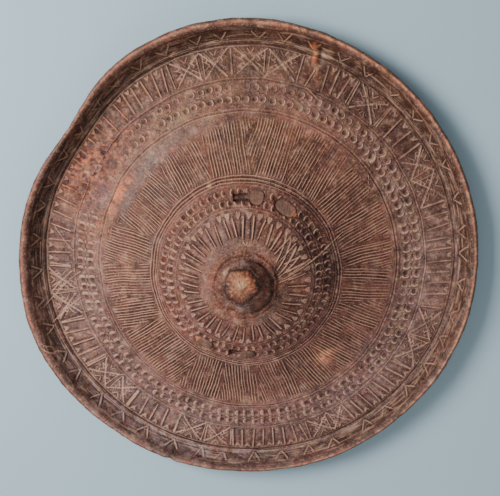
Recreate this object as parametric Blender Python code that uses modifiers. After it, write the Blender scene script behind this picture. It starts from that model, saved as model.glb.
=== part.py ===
"""Round hide shield, lying face up, with a strap grip laced to its back.

The shield is one thick piece of hide. Its front rises from a turned-up rim to a low cone, a convex dome and a
knob, and it is carved in rings around the dome. Four thongs pass through slits in the dome and hold the grip.
Units are metres, +Z is the shield's front, and the shield rests on the flat ring under its rim.
"""
import math

import bmesh
import bpy
import numpy as np
from mathutils import Matrix, Vector

# The rim: a lip turned up towards the front
RIM_RADIUS = 0.2558
LIP_WIDTH = 0.0100
LIP_HEIGHT = 0.0350
FOOT_RADIUS = 0.2325
FOOT_HEIGHT = 0.0085

# The ring that the shield rests on
REST_OUTER_RADIUS = 0.2370
REST_WIDTH = 0.0100
REST_CORNER_WIDTH = 0.0050
REST_CORNER_HEIGHT = 0.0035
REST_SLOPE_WIDTH = 0.0100

# The hide and the cone between the rim and the dome
HIDE_THICKNESS = 0.0070
CONE_HOLLOW = 1.25
BACK_BEND_WIDTH = 0.0050

# The dome
DOME_RADIUS = 0.1038
DOME_EDGE_HEIGHT = 0.0520
DOME_TOP_HEIGHT = 0.0840
DOME_BULGE = 1.40
DOME_RIDGE_WIDTH = 0.0044
DOME_RIDGE_HEIGHT = 0.0016

# The knob, its collar and the hollow behind them
COLLAR_RADIUS = 0.0335
COLLAR_ROLL = 0.0030
COLLAR_ROLL_START = 120.0
COLLAR_FOOT_WIDTH = 0.0060
KNOB_RADIUS = 0.0290
KNOB_HEIGHT = 0.1130
KNOB_SQUARENESS = 2.7
KNOB_HOLLOW_RADIUS = 0.0180
KNOB_HOLLOW_HEIGHT = 0.0940
KNOB_HOLLOW_FLARE = 0.0072
KNOB_HOLLOW_CORNER = 0.0050
KNOB_HOLLOW_CROWN = 0.0018

# How far the knob stands from the middle of the rim, and how fast that fades towards the rim
KNOB_OFFSET = (0.0035, -0.0240)
OFFSET_FADE = 1.4

# Where the rim strays from a circle: angle and spread in degrees, depth in metres
RIM_WARPS = (
    (95.0, 28.0, 0.0040),
    (145.0, 15.0, -0.0125),
    (203.0, 22.0, 0.0080),
    (275.0, 22.0, -0.0055),
    (310.0, 20.0, -0.0040),
)
WARP_START_RADIUS = 0.1900
WARP_FADE = 1.5

# The carving: widths of its rings and how deep it is cut
DOME_STROKES = 38
STROKE_INNER_RADIUS = 0.0470
STROKE_OUTER_RADIUS = 0.0720
DOME_SCALLOP_RADIUS = 0.0845
FLUTE_INNER_RADIUS = 0.1100
FLUTE_OUTER_RADIUS = 0.1600
INNER_LINE_RADIUS = 0.1670
INNER_SCALLOP_RADIUS = 0.1775
OUTER_SCALLOP_RADIUS = 0.1900
OUTER_LINE_RADIUS = 0.1978
HATCH_INNER_RADIUS = 0.2020
HATCH_OUTER_RADIUS = 0.2270
CARVING_DEPTH = 0.0018
LINE_DEPTH = 0.0012
SCALLOP_WIDTH = 0.0040
EDGE_WIDTH = 0.0025

# The grip, a strap with spread ends
GRIP_THICKNESS = 0.0045
GRIP_WIDTH = 0.0280
GRIP_END_WIDTH = 0.1000
GRIP_TIP_WIDTH = 0.0820
GRIP_TIP_MARGIN = 0.0130
GRIP_MIDDLE_HEIGHT = 0.0400
GRIP_BOW = 0.0050
GRIP_STRAIGHT_LENGTH = 0.0960
GRIP_LEVEL_LENGTH = 0.0864
GRIP_GAP = 0.0006

# The thongs that lace the grip's ends to the hide
UPPER_END_ANGLE = 69.0
LOWER_END_ANGLE = 254.5
UPPER_THONG_RADIUS = 0.0860
LOWER_THONG_RADIUS = 0.0890
UPPER_THONG_SPREAD = 25.0
LOWER_THONG_SPREAD = 33.5
THONG_SPAN = 0.0200
THONG_WIDTH = 0.0100
THONG_THICKNESS = 0.0022
THONG_CORNER = 0.0012
THONG_SLACK = 0.0012
THONG_BACK_SLACK = 0.0024
SLIT_CLEARANCE = 0.0004
UPPER_SLIT_OPENING = 0.0140
LOWER_SLIT_OPENING = 0.0080

# How finely the surfaces are divided, and every how many points a row is carved
COARSE_STEPS = DOME_STROKES
RING_STEPS = 2 * COARSE_STEPS
FINE_STEPS = 4 * COARSE_STEPS
STROKE_EVERY = FINE_STEPS // DOME_STROKES
CARVE_EVERY = 2
KNOB_ROWS = 4
DOME_ROWS_BACK = 4
CONE_ROWS_BACK = 4
LIP_STEPS = 4
ROLL_STEPS = 2
CORNER_STEPS = 2
GRIP_ROWS = 22
GRIP_COLUMNS = 6
SMOOTH_ANGLE = 40.0

# Small lengths for slopes and welds, and how often a place's ring is worked out anew
PROBE_STEP = 0.0010
WELD_DISTANCE = 0.00001
RING_PASSES = 12

# Colours: base colour and roughness
HIDE_FINISH = ((0.130, 0.066, 0.048), 0.55)
GRIP_FINISH = ((0.160, 0.088, 0.055), 0.60)
THONG_FINISH = ((0.210, 0.125, 0.078), 0.60)


def smoothstep(low, high, value):
    """A share from 0 to 1 that eases in and out between two values."""
    share = np.clip((value - low) / (high - low), 0.0, 1.0)
    return share * share * (3.0 - 2.0 * share)


def cone_height(radius):
    """Height of the front between the foot of the rim and the dome."""
    share = (FOOT_RADIUS - radius) / (FOOT_RADIUS - DOME_RADIUS)
    return FOOT_HEIGHT + (DOME_EDGE_HEIGHT - FOOT_HEIGHT) * max(share, 0.0) ** CONE_HOLLOW


def dome_height(radius):
    """Height of the front on the dome, which falls ever faster from the collar outwards."""
    start = COLLAR_RADIUS + COLLAR_ROLL
    share = min(max((radius - start) / (DOME_RADIUS - start), 0.0), 1.0)
    return DOME_TOP_HEIGHT - (DOME_TOP_HEIGHT - DOME_EDGE_HEIGHT) * share ** DOME_BULGE


def front_height(radius):
    """Height of the front inside the rim and outside the collar, before carving."""
    return dome_height(radius) if radius < DOME_RADIUS else cone_height(radius)


def back_height(radius):
    """Height of the back, one hide thickness behind the front."""
    slope = (front_height(radius + PROBE_STEP) - front_height(radius - PROBE_STEP)) / (2.0 * PROBE_STEP)
    return front_height(radius) - HIDE_THICKNESS * math.sqrt(1.0 + slope * slope)


def rim_warp(angle):
    """How far the rim lies outside its circle at an angle in radians."""
    total = 0.0
    for centre, spread, depth in RIM_WARPS:
        away = (math.degrees(angle) - centre + 180.0) % 360.0 - 180.0
        total += depth * math.exp(-((away / spread) ** 2))
    return total


def ring_centre(radius):
    """Middle of the ring with this radius: the rings stray towards the knob as far in as the collar."""
    reach = max(RIM_RADIUS - max(radius, COLLAR_RADIUS), 0.0)
    share = (reach / (RIM_RADIUS - COLLAR_RADIUS)) ** OFFSET_FADE
    return KNOB_OFFSET[0] * share, KNOB_OFFSET[1] * share


def shield_point(angle, radius, height):
    """A point of the shield at an angle, a radius and a height, with the warped rim and the stray rings."""
    warp_share = max(radius - WARP_START_RADIUS, 0.0) / (RIM_RADIUS - WARP_START_RADIUS)
    reach = radius + rim_warp(angle) * warp_share ** WARP_FADE
    middle = ring_centre(radius)
    return Vector((middle[0] + reach * math.cos(angle), middle[1] + reach * math.sin(angle), height))


def shield_radius(x, y):
    """Radius of the ring that passes through a place inside the warped rim."""
    radius = math.hypot(x, y)
    for _ in range(RING_PASSES):
        middle = ring_centre(radius)
        radius = math.hypot(x - middle[0], y - middle[1])
    return radius


def arc(centre_radius, centre_height, size, first, last, steps):
    """Radii and heights along an arc between two angles in degrees."""
    turns = [math.radians(first + (last - first) * k / steps) for k in range(steps + 1)]
    return [(centre_radius + size * math.cos(t), centre_height + size * math.sin(t)) for t in turns]


def knob_rows():
    """Rows of the knob and its collar, from the top outwards."""
    drop = KNOB_HEIGHT - DOME_TOP_HEIGHT - COLLAR_ROLL / 2.0
    rows = []
    for k in range(1, KNOB_ROWS + 1):
        turn = 0.5 * math.pi * k / KNOB_ROWS
        radius = KNOB_RADIUS * math.sin(turn) ** (2.0 / KNOB_SQUARENESS)
        height = KNOB_HEIGHT - drop * (1.0 - max(math.cos(turn), 0.0) ** (2.0 / KNOB_SQUARENESS))
        rows.append((radius, height, COARSE_STEPS, 0, 0.0))
    roll = arc(COLLAR_RADIUS, DOME_TOP_HEIGHT, COLLAR_ROLL, COLLAR_ROLL_START, 0.0, ROLL_STEPS)
    rows += [(radius, height, RING_STEPS, 0, 0.0) for radius, height in roll]
    return rows


def front_row(radius, steps, every=0, depth=0.0, drop=0.0):
    """One row of the front: every so many points, one lies deeper, and the whole row may lie lower."""
    return (radius, front_height(radius) - drop, steps, every, depth)


def dome_rows():
    """Rows of the dome: radial strokes, scallops and the raised ridge at its edge."""
    ridge = DOME_RIDGE_WIDTH / 2.0
    return [
        front_row(STROKE_INNER_RADIUS - EDGE_WIDTH, FINE_STEPS),
        front_row(STROKE_INNER_RADIUS, FINE_STEPS, STROKE_EVERY, CARVING_DEPTH),
        front_row(STROKE_OUTER_RADIUS - EDGE_WIDTH, FINE_STEPS, STROKE_EVERY, CARVING_DEPTH),
        front_row(STROKE_OUTER_RADIUS, RING_STEPS),
        front_row(DOME_SCALLOP_RADIUS, RING_STEPS, CARVE_EVERY, CARVING_DEPTH),
        front_row(DOME_RADIUS - ridge - SCALLOP_WIDTH, RING_STEPS),
        front_row(DOME_RADIUS - ridge, RING_STEPS),
        front_row(DOME_RADIUS, RING_STEPS, drop=-DOME_RIDGE_HEIGHT),
        front_row(DOME_RADIUS + ridge, RING_STEPS),
    ]


def cone_rows():
    """Rows of the cone: flutes, two rings of scallops between lines, and the hatched band."""
    return [
        front_row(FLUTE_INNER_RADIUS, FINE_STEPS, CARVE_EVERY, CARVING_DEPTH),
        front_row(FLUTE_OUTER_RADIUS, FINE_STEPS, CARVE_EVERY, CARVING_DEPTH),
        front_row(INNER_LINE_RADIUS - EDGE_WIDTH, FINE_STEPS),
        front_row(INNER_LINE_RADIUS, RING_STEPS, drop=LINE_DEPTH),
        front_row(INNER_LINE_RADIUS + EDGE_WIDTH, RING_STEPS),
        front_row(INNER_SCALLOP_RADIUS, FINE_STEPS, CARVE_EVERY, CARVING_DEPTH),
        front_row(OUTER_SCALLOP_RADIUS, FINE_STEPS, CARVE_EVERY, CARVING_DEPTH),
        front_row(OUTER_LINE_RADIUS, RING_STEPS, drop=LINE_DEPTH),
        front_row(HATCH_INNER_RADIUS, FINE_STEPS, CARVE_EVERY, CARVING_DEPTH),
        front_row(HATCH_OUTER_RADIUS, FINE_STEPS, CARVE_EVERY, CARVING_DEPTH),
        front_row(FOOT_RADIUS, RING_STEPS, drop=LINE_DEPTH),
    ]


def rim_rows():
    """Rows of the inner wall, the rounded lip, the outer side and the ring that the shield rests on."""
    lip = LIP_WIDTH / 2.0
    lip_centre = RIM_RADIUS - lip
    rows = [(FOOT_RADIUS + EDGE_WIDTH, FOOT_HEIGHT + EDGE_WIDTH / 2.0)]
    rows += arc(lip_centre, LIP_HEIGHT - lip, lip, 180.0, 0.0, LIP_STEPS)
    rows.append((REST_OUTER_RADIUS + REST_CORNER_WIDTH, REST_CORNER_HEIGHT))
    rows.append((REST_OUTER_RADIUS, 0.0))
    rows.append((REST_OUTER_RADIUS - REST_WIDTH, 0.0))
    return [(radius, height, RING_STEPS, 0, 0.0) for radius, height in rows]


def back_rows():
    """Rows of the plain back, from the resting ring inwards to the hollow behind the knob."""
    edge = REST_OUTER_RADIUS - REST_WIDTH - REST_SLOPE_WIDTH
    foot = COLLAR_RADIUS + COLLAR_FOOT_WIDTH
    radii = list(np.linspace(edge, DOME_RADIUS + BACK_BEND_WIDTH / 2.0, CONE_ROWS_BACK))
    radii += list(np.linspace(DOME_RADIUS - BACK_BEND_WIDTH, foot, DOME_ROWS_BACK))
    rows = [(radius, back_height(radius), RING_STEPS, 0, 0.0) for radius in radii]
    hollow = [
        (KNOB_HOLLOW_RADIUS + KNOB_HOLLOW_FLARE, DOME_TOP_HEIGHT - HIDE_THICKNESS),
        (KNOB_HOLLOW_RADIUS, KNOB_HOLLOW_HEIGHT - KNOB_HOLLOW_CORNER),
        (KNOB_HOLLOW_RADIUS - KNOB_HOLLOW_CORNER, KNOB_HOLLOW_HEIGHT),
    ]
    return rows + [(radius, height, COARSE_STEPS, 0, 0.0) for radius, height in hollow]


def add_row(mesh, row):
    """Adds the points of one row and returns them."""
    radius, height, steps, every, depth = row
    points = []
    for k in range(steps):
        cut = depth if every and k % every == 0 else 0.0
        points.append(mesh.verts.new(shield_point(math.tau * k / steps, radius, height - cut)))
    return points


def bridge(mesh, first, second):
    """Joins two rows, of which one may have twice as many points as the other."""
    if len(second) > len(first):
        first, second = second, first
    ratio = len(first) // len(second)
    for k, start in enumerate(second):
        end = second[(k + 1) % len(second)]
        near = [first[(k * ratio + j) % len(first)] for j in range(ratio + 1)]
        middle = len(near) // 2
        for j in range(ratio):
            mesh.faces.new((near[j], near[j + 1], start if j < middle else end))
        mesh.faces.new((start, near[middle], end))


def close_row(mesh, row, height):
    """Closes a row with a fan around a point above or below its middle."""
    middle = ring_centre(0.0)
    tip = mesh.verts.new((middle[0], middle[1], height))
    for k, point in enumerate(row):
        mesh.faces.new((point, row[(k + 1) % len(row)], tip))


def make_material(name, finish):
    """A leather material from a base colour and a roughness."""
    colour, roughness = finish
    material = bpy.data.materials.new(name)
    material.use_nodes = True
    shader = material.node_tree.nodes["Principled BSDF"]
    shader.inputs["Base Color"].default_value = (*colour, 1.0)
    shader.inputs["Roughness"].default_value = roughness
    shader.inputs["Metallic"].default_value = 0.0
    material.diffuse_color = (*colour, 1.0)
    return material


def add_object(name, mesh, collection, finish=None):
    """Turns a bmesh into an object in a collection, with its material."""
    data = bpy.data.meshes.new(name)
    mesh.to_mesh(data)
    mesh.free()
    obj = bpy.data.objects.new(name, data)
    collection.objects.link(obj)
    if finish is not None:
        data.materials.append(make_material(name, finish))
    return obj


def make_hide(collection):
    """The hide: a loft through rows of unlike numbers of points, fine where it is carved."""
    mesh = bmesh.new()
    rows = knob_rows() + dome_rows() + cone_rows() + rim_rows() + back_rows()
    points = [add_row(mesh, row) for row in rows]
    for first, second in zip(points, points[1:]):
        bridge(mesh, first, second)
    close_row(mesh, points[0], KNOB_HEIGHT)
    close_row(mesh, points[-1], KNOB_HOLLOW_HEIGHT + KNOB_HOLLOW_CROWN)
    bmesh.ops.recalc_face_normals(mesh, faces=mesh.faces)
    hide = add_object("hide_body", mesh, collection, HIDE_FINISH)
    hide.data.shade_smooth()
    hide.data.set_sharp_from_angle(angle=math.radians(SMOOTH_ANGLE))
    return hide


def thong_places():
    """Name, angle in radians, radius and slit openings, clockwise and anticlockwise, of each thong."""
    upper = UPPER_THONG_SPREAD / 2.0
    lower = LOWER_THONG_SPREAD / 2.0
    places = (
        ("thong_upper_left", UPPER_END_ANGLE + upper, UPPER_THONG_RADIUS, (0.0, UPPER_SLIT_OPENING)),
        ("thong_upper_right", UPPER_END_ANGLE - upper, UPPER_THONG_RADIUS, (0.0, 0.0)),
        ("thong_lower_left", LOWER_END_ANGLE - lower, LOWER_THONG_RADIUS, (0.0, 0.0)),
        ("thong_lower_right", LOWER_END_ANGLE + lower, LOWER_THONG_RADIUS, (LOWER_SLIT_OPENING, 0.0)),
    )
    return [(name, math.radians(angle), radius, openings) for name, angle, radius, openings in places]


def thong_frame(angle, radius):
    """Frame on the front at a thong: X along the ring, Y out of the hide, Z away from the knob."""
    turn = PROBE_STEP / radius
    here = shield_point(angle, radius, front_height(radius))
    further = shield_point(angle, radius + PROBE_STEP, front_height(radius + PROBE_STEP))
    nearer = shield_point(angle, radius - PROBE_STEP, front_height(radius - PROBE_STEP))
    outward = (further - nearer).normalized()
    along = shield_point(angle + turn, radius, 0.0) - shield_point(angle - turn, radius, 0.0)
    along = (along - outward * along.dot(outward)).normalized()
    upward = outward.cross(along)
    frame = Matrix((along, upward, outward)).transposed().to_4x4()
    frame.translation = here
    return frame


def rounded_outline(width, low, high, corner):
    """Corner points of a rectangle with rounded corners, centred across and between two heights."""
    points = []
    across = width / 2.0 - corner
    corners = ((across, high - corner), (-across, high - corner), (-across, low + corner), (across, low + corner))
    for quarter, (x, y) in enumerate(corners):
        for k in range(CORNER_STEPS + 1):
            turn = 0.5 * math.pi * (quarter + k / CORNER_STEPS)
            points.append((x + corner * math.cos(turn), y + corner * math.sin(turn)))
    return points


def add_outline(curve, points):
    """Adds one closed straight-sided outline to a flat curve."""
    spline = curve.splines.new("POLY")
    spline.points.add(len(points) - 1)
    for point, (x, y) in zip(spline.points, points):
        point.co = (x, y, 0.0, 1.0)
    spline.use_cyclic_u = True


def thong_low():
    """Depth of the thong's inner side behind the front: hide, grip and slack."""
    return -(HIDE_THICKNESS + GRIP_GAP + GRIP_THICKNESS + THONG_BACK_SLACK)


def make_thong(name, frame, collection):
    """A flat strap that runs through two slits, over the front and behind the grip's end."""
    curve = bpy.data.curves.new(name, "CURVE")
    curve.dimensions = "2D"
    curve.fill_mode = "BOTH"
    curve.extrude = THONG_WIDTH / 2.0
    low = thong_low()
    outer_corner = THONG_CORNER + THONG_THICKNESS
    outer_width = THONG_SPAN + 2.0 * THONG_THICKNESS
    outer_low = low - THONG_THICKNESS
    outer_high = THONG_SLACK + THONG_THICKNESS
    add_outline(curve, rounded_outline(outer_width, outer_low, outer_high, outer_corner))
    add_outline(curve, rounded_outline(THONG_SPAN, low, THONG_SLACK, THONG_CORNER))
    source = bpy.data.objects.new(name + "_curve", curve)
    collection.objects.link(source)
    source.matrix_world = frame
    bpy.context.view_layer.update()
    shape = source.evaluated_get(bpy.context.evaluated_depsgraph_get())
    data = bpy.data.meshes.new_from_object(shape)
    mesh = bmesh.new()
    mesh.from_mesh(data)
    bmesh.ops.remove_doubles(mesh, verts=mesh.verts, dist=WELD_DISTANCE)
    bmesh.ops.recalc_face_normals(mesh, faces=mesh.faces)
    thong = add_object(name, mesh, collection, THONG_FINISH)
    thong.matrix_world = source.matrix_world.copy()
    bpy.data.objects.remove(source)
    bpy.data.curves.remove(curve)
    bpy.data.meshes.remove(data)
    return thong


def slit_box(mesh, frame, start, end):
    """Adds a box to a cutter mesh: between two places along X, a thong wide, through hide and grip."""
    top = THONG_SLACK + 2.0 * THONG_THICKNESS
    bottom = thong_low() - 2.0 * THONG_THICKNESS
    centre = Matrix.Translation(((start + end) / 2.0, (top + bottom) / 2.0, 0.0))
    size = Matrix.Diagonal((end - start, top - bottom, THONG_WIDTH + 2.0 * SLIT_CLEARANCE, 1.0))
    bmesh.ops.create_cube(mesh, size=1.0, matrix=frame @ centre @ size)


def make_cutter(name, collection, opened):
    """All slits for one piece, as boxes around the thongs' legs, opened wider where a slit gapes."""
    mesh = bmesh.new()
    inner = THONG_SPAN / 2.0 - SLIT_CLEARANCE
    outer = THONG_SPAN / 2.0 + THONG_THICKNESS + SLIT_CLEARANCE
    for _, angle, radius, openings in thong_places():
        frame = thong_frame(angle, radius)
        gapes = openings if opened else (0.0, 0.0)
        slit_box(mesh, frame, -outer - gapes[0], -inner)
        slit_box(mesh, frame, inner, outer + gapes[1])
    cutter = add_object(name, mesh, collection)
    cutter.hide_render = True
    cutter.display_type = "WIRE"
    return cutter


def cut(obj, cutter):
    """Cuts a piece with an exact Boolean."""
    modifier = obj.modifiers.new(cutter.name, "BOOLEAN")
    modifier.operation = "DIFFERENCE"
    modifier.solver = "EXACT"
    modifier.object = cutter


def grip_axis():
    """Middle, direction and half length of the grip, from the two pairs of thongs that hold it."""
    places = [(angle, radius) for _, angle, radius, _ in thong_places()]
    points = [shield_point(angle, radius, 0.0) for angle, radius in places]
    ends = [(points[0] + points[1]) / 2.0, (points[2] + points[3]) / 2.0]
    length = (ends[0] - ends[1]).length
    return (ends[0] + ends[1]) / 2.0, (ends[0] - ends[1]).normalized(), length / 2.0


def grip_half_width(place, reach):
    """Half of the grip's width at a place along it: narrow for the hand, spread, and narrower at the tips."""
    spread = smoothstep(GRIP_STRAIGHT_LENGTH / 2.0, reach, abs(place))
    rounding = smoothstep(reach, reach + GRIP_TIP_MARGIN, abs(place))
    wide = GRIP_WIDTH + (GRIP_END_WIDTH - GRIP_WIDTH) * spread - (GRIP_END_WIDTH - GRIP_TIP_WIDTH) * rounding
    return 0.5 * wide


def make_grip(collection):
    """The grip: a strip that bows away from the hide and lies flat against it at both ends."""
    middle, direction, reach = grip_axis()
    across = Vector((direction.y, -direction.x, 0.0))
    half_length = reach + GRIP_TIP_MARGIN
    straight = GRIP_STRAIGHT_LENGTH / 2.0
    landing = reach - THONG_WIDTH / 2.0 - 2.0 * SLIT_CLEARANCE
    mesh = bmesh.new()
    bmesh.ops.create_grid(mesh, x_segments=GRIP_COLUMNS, y_segments=GRIP_ROWS, size=1.0)
    for point in mesh.verts:
        place = point.co.y * half_length
        side = point.co.x * grip_half_width(place, reach)
        spot = middle + direction * place + across * side
        bowed = GRIP_MIDDLE_HEIGHT + GRIP_BOW * (place / straight) ** 2
        against_hide = back_height(shield_radius(spot.x, spot.y)) - GRIP_GAP
        share = float(smoothstep(GRIP_LEVEL_LENGTH / 2.0, landing, abs(place)))
        point.co = (spot.x, spot.y, bowed + (against_hide - bowed) * share)
    grip = add_object("grip", mesh, collection, GRIP_FINISH)
    solidify = grip.modifiers.new("thickness", "SOLIDIFY")
    solidify.thickness = GRIP_THICKNESS
    solidify.offset = -1.0
    grip.data.shade_smooth()
    grip.data.set_sharp_from_angle(angle=math.radians(SMOOTH_ANGLE))
    return grip


def centre_on_origin(objects):
    """Moves everything sideways so that the middle of the shield's outline stands at the origin."""
    bpy.context.view_layer.update()
    hide = bpy.data.objects["hide_body"]
    corners = [hide.matrix_world @ vertex.co for vertex in hide.data.vertices]
    shift = Vector((
        -0.5 * (min(c.x for c in corners) + max(c.x for c in corners)),
        -0.5 * (min(c.y for c in corners) + max(c.y for c in corners)),
        0.0,
    ))
    for obj in objects:
        obj.matrix_world = Matrix.Translation(shift) @ obj.matrix_world


def clear_scene():
    """Removes what the scene holds."""
    for obj in list(bpy.data.objects):
        bpy.data.objects.remove(obj)


def new_collection(name):
    """A new collection in the scene."""
    collection = bpy.data.collections.new(name)
    bpy.context.scene.collection.children.link(collection)
    return collection


def main():
    """Builds the whole shield."""
    clear_scene()
    pieces = new_collection("hide_shield")
    cutters = new_collection("cutters")
    hide = make_hide(pieces)
    grip = make_grip(pieces)
    thongs = [make_thong(name, thong_frame(angle, radius), pieces) for name, angle, radius, _ in thong_places()]
    hide_slits = make_cutter("hide_slits", cutters, opened=True)
    grip_slits = make_cutter("grip_slits", cutters, opened=False)
    cut(hide, hide_slits)
    cut(grip, grip_slits)
    centre_on_origin([hide, grip, hide_slits, grip_slits] + thongs)


main()
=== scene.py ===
"""Looks of a round hide shield that lies face up.

The hide is one closed skin laid in rings around its knob. Its relief is worked out as fields over angle and
ring radius: strokes, notches, crescents, flutes, lines, wear and old damage. The grip and its four thongs are
straps swept along a path. Lengths are in metres. Angles are in degrees from +X, counterclockwise as seen from
the front.
"""
import math

import bmesh
import bpy
import numpy as np
from bpy.props import FloatProperty, FloatVectorProperty, PointerProperty
from mathutils import Matrix, Vector


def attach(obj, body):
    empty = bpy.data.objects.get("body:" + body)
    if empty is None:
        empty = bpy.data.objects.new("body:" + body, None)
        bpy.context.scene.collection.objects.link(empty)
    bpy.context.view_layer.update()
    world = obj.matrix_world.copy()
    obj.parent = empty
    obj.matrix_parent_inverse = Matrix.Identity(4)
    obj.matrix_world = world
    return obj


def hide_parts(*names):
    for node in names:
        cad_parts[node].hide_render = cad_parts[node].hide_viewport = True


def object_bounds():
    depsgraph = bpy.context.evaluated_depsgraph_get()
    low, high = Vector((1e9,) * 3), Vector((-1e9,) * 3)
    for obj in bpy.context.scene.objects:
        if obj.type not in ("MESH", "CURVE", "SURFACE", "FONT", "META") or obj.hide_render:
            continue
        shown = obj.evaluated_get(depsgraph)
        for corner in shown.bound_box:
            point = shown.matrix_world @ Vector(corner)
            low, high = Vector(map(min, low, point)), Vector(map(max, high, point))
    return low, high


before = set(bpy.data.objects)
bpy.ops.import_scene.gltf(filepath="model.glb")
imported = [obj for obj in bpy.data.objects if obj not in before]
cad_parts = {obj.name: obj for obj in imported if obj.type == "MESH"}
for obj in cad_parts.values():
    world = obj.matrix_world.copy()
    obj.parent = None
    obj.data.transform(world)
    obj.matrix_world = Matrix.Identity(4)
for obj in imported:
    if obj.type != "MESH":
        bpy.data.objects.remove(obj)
CAD_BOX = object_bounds()

bl_info = {
    "name": "Hide shield",
    "version": (1, 0, 0),
    "blender": (4, 5, 0),
    "location": "View3D > Sidebar > Hide shield",
    "description": "Builds the carved hide, the laced grip and the stage of a round shield",
    "category": "Object",
}

# The shield's shape, as its solids have it
RIM_RADIUS = 0.2558
LIP_WIDTH = 0.0100
LIP_HEIGHT = 0.0350
FOOT_RADIUS = 0.2325
FOOT_HEIGHT = 0.0085
FOOT_STEP = 0.0025
REST_OUTER_RADIUS = 0.2370
REST_WIDTH = 0.0100
REST_CORNER_WIDTH = 0.0050
REST_CORNER_HEIGHT = 0.0035
REST_SLOPE_WIDTH = 0.0100
HIDE_THICKNESS = 0.0070
CONE_HOLLOW = 1.25
BACK_BEND_WIDTH = 0.0050
DOME_RADIUS = 0.1038
DOME_EDGE_HEIGHT = 0.0520
DOME_TOP_HEIGHT = 0.0840
DOME_BULGE = 1.40
COLLAR_RADIUS = 0.0335
COLLAR_ROLL = 0.0030
COLLAR_FOOT_WIDTH = 0.0060
KNOB_RADIUS = 0.0290
KNOB_HEIGHT = 0.1130
KNOB_SQUARENESS = 2.7
KNOB_OFFSET = np.array((0.0035, -0.0240))
OFFSET_FADE = 1.4
RIM_WARPS = (
    (95.0, 28.0, 0.0040),
    (145.0, 15.0, -0.0125),
    (203.0, 22.0, 0.0080),
    (275.0, 22.0, -0.0055),
    (310.0, 20.0, -0.0040),
)
WARP_START_RADIUS = 0.1900
WARP_FADE = 1.5

# The grip and the thongs, as the solids have them
GRIP_THICKNESS = 0.0045
GRIP_WIDTH = 0.0280
GRIP_END_WIDTH = 0.1000
GRIP_TIP_WIDTH = 0.0820
GRIP_TIP_MARGIN = 0.0130
GRIP_MIDDLE_HEIGHT = 0.0400
GRIP_BOW = 0.0050
GRIP_STRAIGHT_LENGTH = 0.0960
GRIP_LEVEL_LENGTH = 0.0864
GRIP_GAP = 0.0006
THONG_WIDTH = 0.0100
SLIT_CLEARANCE = 0.0004

# Parts of the skin from the knob to the back, and the number that stands for far off
KNOB, FRONT, RIM, BACK = range(4)
FAR = 9.0

# How many points a ring has on each part of the skin
KNOB_STEPS = 270
DOME_STEPS = 540
CONE_STEPS = 1080
LIP_STEPS = 540
BACK_STEPS = 270
HOLLOW_STEPS = 135

# Rings of the front: first radius, last radius and how many rings between them, the last one left out
DOME_BANDS = (
    (0.0380, 0.0470, 5),
    (0.0470, 0.0650, 7),
    (0.0650, 0.0710, 4),
    (0.0710, 0.0775, 3),
    (0.0775, 0.0838, 6),
    (0.0838, 0.0878, 2),
    (0.0878, 0.0936, 6),
    (0.0936, 0.0985, 2),
    (0.0985, 0.1048, 6),
)
CONE_BANDS = (
    (0.1048, 0.1640, 12),
    (0.1640, 0.1700, 4),
    (0.1700, 0.1735, 1),
    (0.1735, 0.1832, 7),
    (0.1832, 0.1862, 1),
    (0.1862, 0.1952, 6),
    (0.1952, 0.2000, 3),
    (0.2000, 0.2210, 7),
    (0.2210, 0.2300, 5),
    (0.2300, 0.2325, 1),
)
WALL_ROWS = 7
# How far the knob's tip lies below the points around it, and the height of the hollow's crown behind it
TIP_SINK = 0.0002
CROWN_HEIGHT = 0.0958

# Lines that run round the shield: radius, half width, height and how strongly the finish marks them, pale
# where raised and dark where cut, partly wear and wax and partly painted highlight and shade
RING_LINES = (
    (0.0752, 0.00060, 0.0003, 0.36),
    (0.0765, 0.00060, -0.0003, 0.34),
    (0.0857, 0.00070, 0.0003, 0.30),
    (0.0962, 0.00070, 0.0003, 0.35),
    (0.0988, 0.00048, 0.0006, 0.75),
    (0.1002, 0.00045, -0.0005, 0.60),
    (0.1017, 0.00052, 0.0008, 0.95),
    (0.1033, 0.00045, -0.0005, 0.65),
    (0.1048, 0.00052, 0.0008, 1.00),
    (0.1655, 0.00055, 0.0004, 0.50),
    (0.1671, 0.00055, -0.0004, 0.50),
    (0.1688, 0.00055, 0.0004, 0.45),
    (0.1977, 0.00055, -0.0005, 0.55),
    (0.1992, 0.00055, 0.0004, 0.45),
    (0.2306, 0.00060, 0.0005, 0.55),
    (0.2325, 0.00080, -0.0009, 0.90),
    (0.2352, 0.00055, 0.0004, 0.45),
    (0.2378, 0.00060, -0.0005, 0.60),
)
# Rings of punched crescents: count, radius, size, side of the round edge and seed
CRESCENTS = (
    (62, 0.0806, 0.0035, 1.0, 32),
    (64, 0.0903, 0.0033, 1.0, 33),
    (114, 0.1783, 0.0043, -1.0, 44),
    (118, 0.1906, 0.0040, -1.0, 45),
)
# Where the cone's crescents are smaller: angle, spread in degrees and share taken off
SMALL_CRESCENTS = (105.0, 60.0, 0.24)
# Ring radius given to the outer side and the back, where no line runs
NO_RING = 0.3000
# Fine flutes: groups of nearly parallel lines, a constant step apart
FLUTE_GROUPS = 23
FLUTE_STEP = 0.0032
FLUTE_MIDDLE = 0.1330
FLUTE_WIDTH = 0.00058
FLUTE_START = 0.1050
FLUTE_END = 0.1632
FLUTE_DRAWS = 997
# Where the flutes end early: angle, spread in degrees and how much shorter they are
SHORT_FLUTES = (
    (118.0, 22.0, 0.0150),
    (149.0, 17.0, 0.0170),
    (38.0, 12.0, 0.0045),
)

# A carved stroke, across its line in widths: how far it reaches and where the grooves beside it lie
STROKE_REACH = 4.0
GROOVE_PLACE = 2.1
# The two sides of a pair of strokes, each with the family of its strokes
SIDES = ((-1.0, 1), (1.0, 2))
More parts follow.
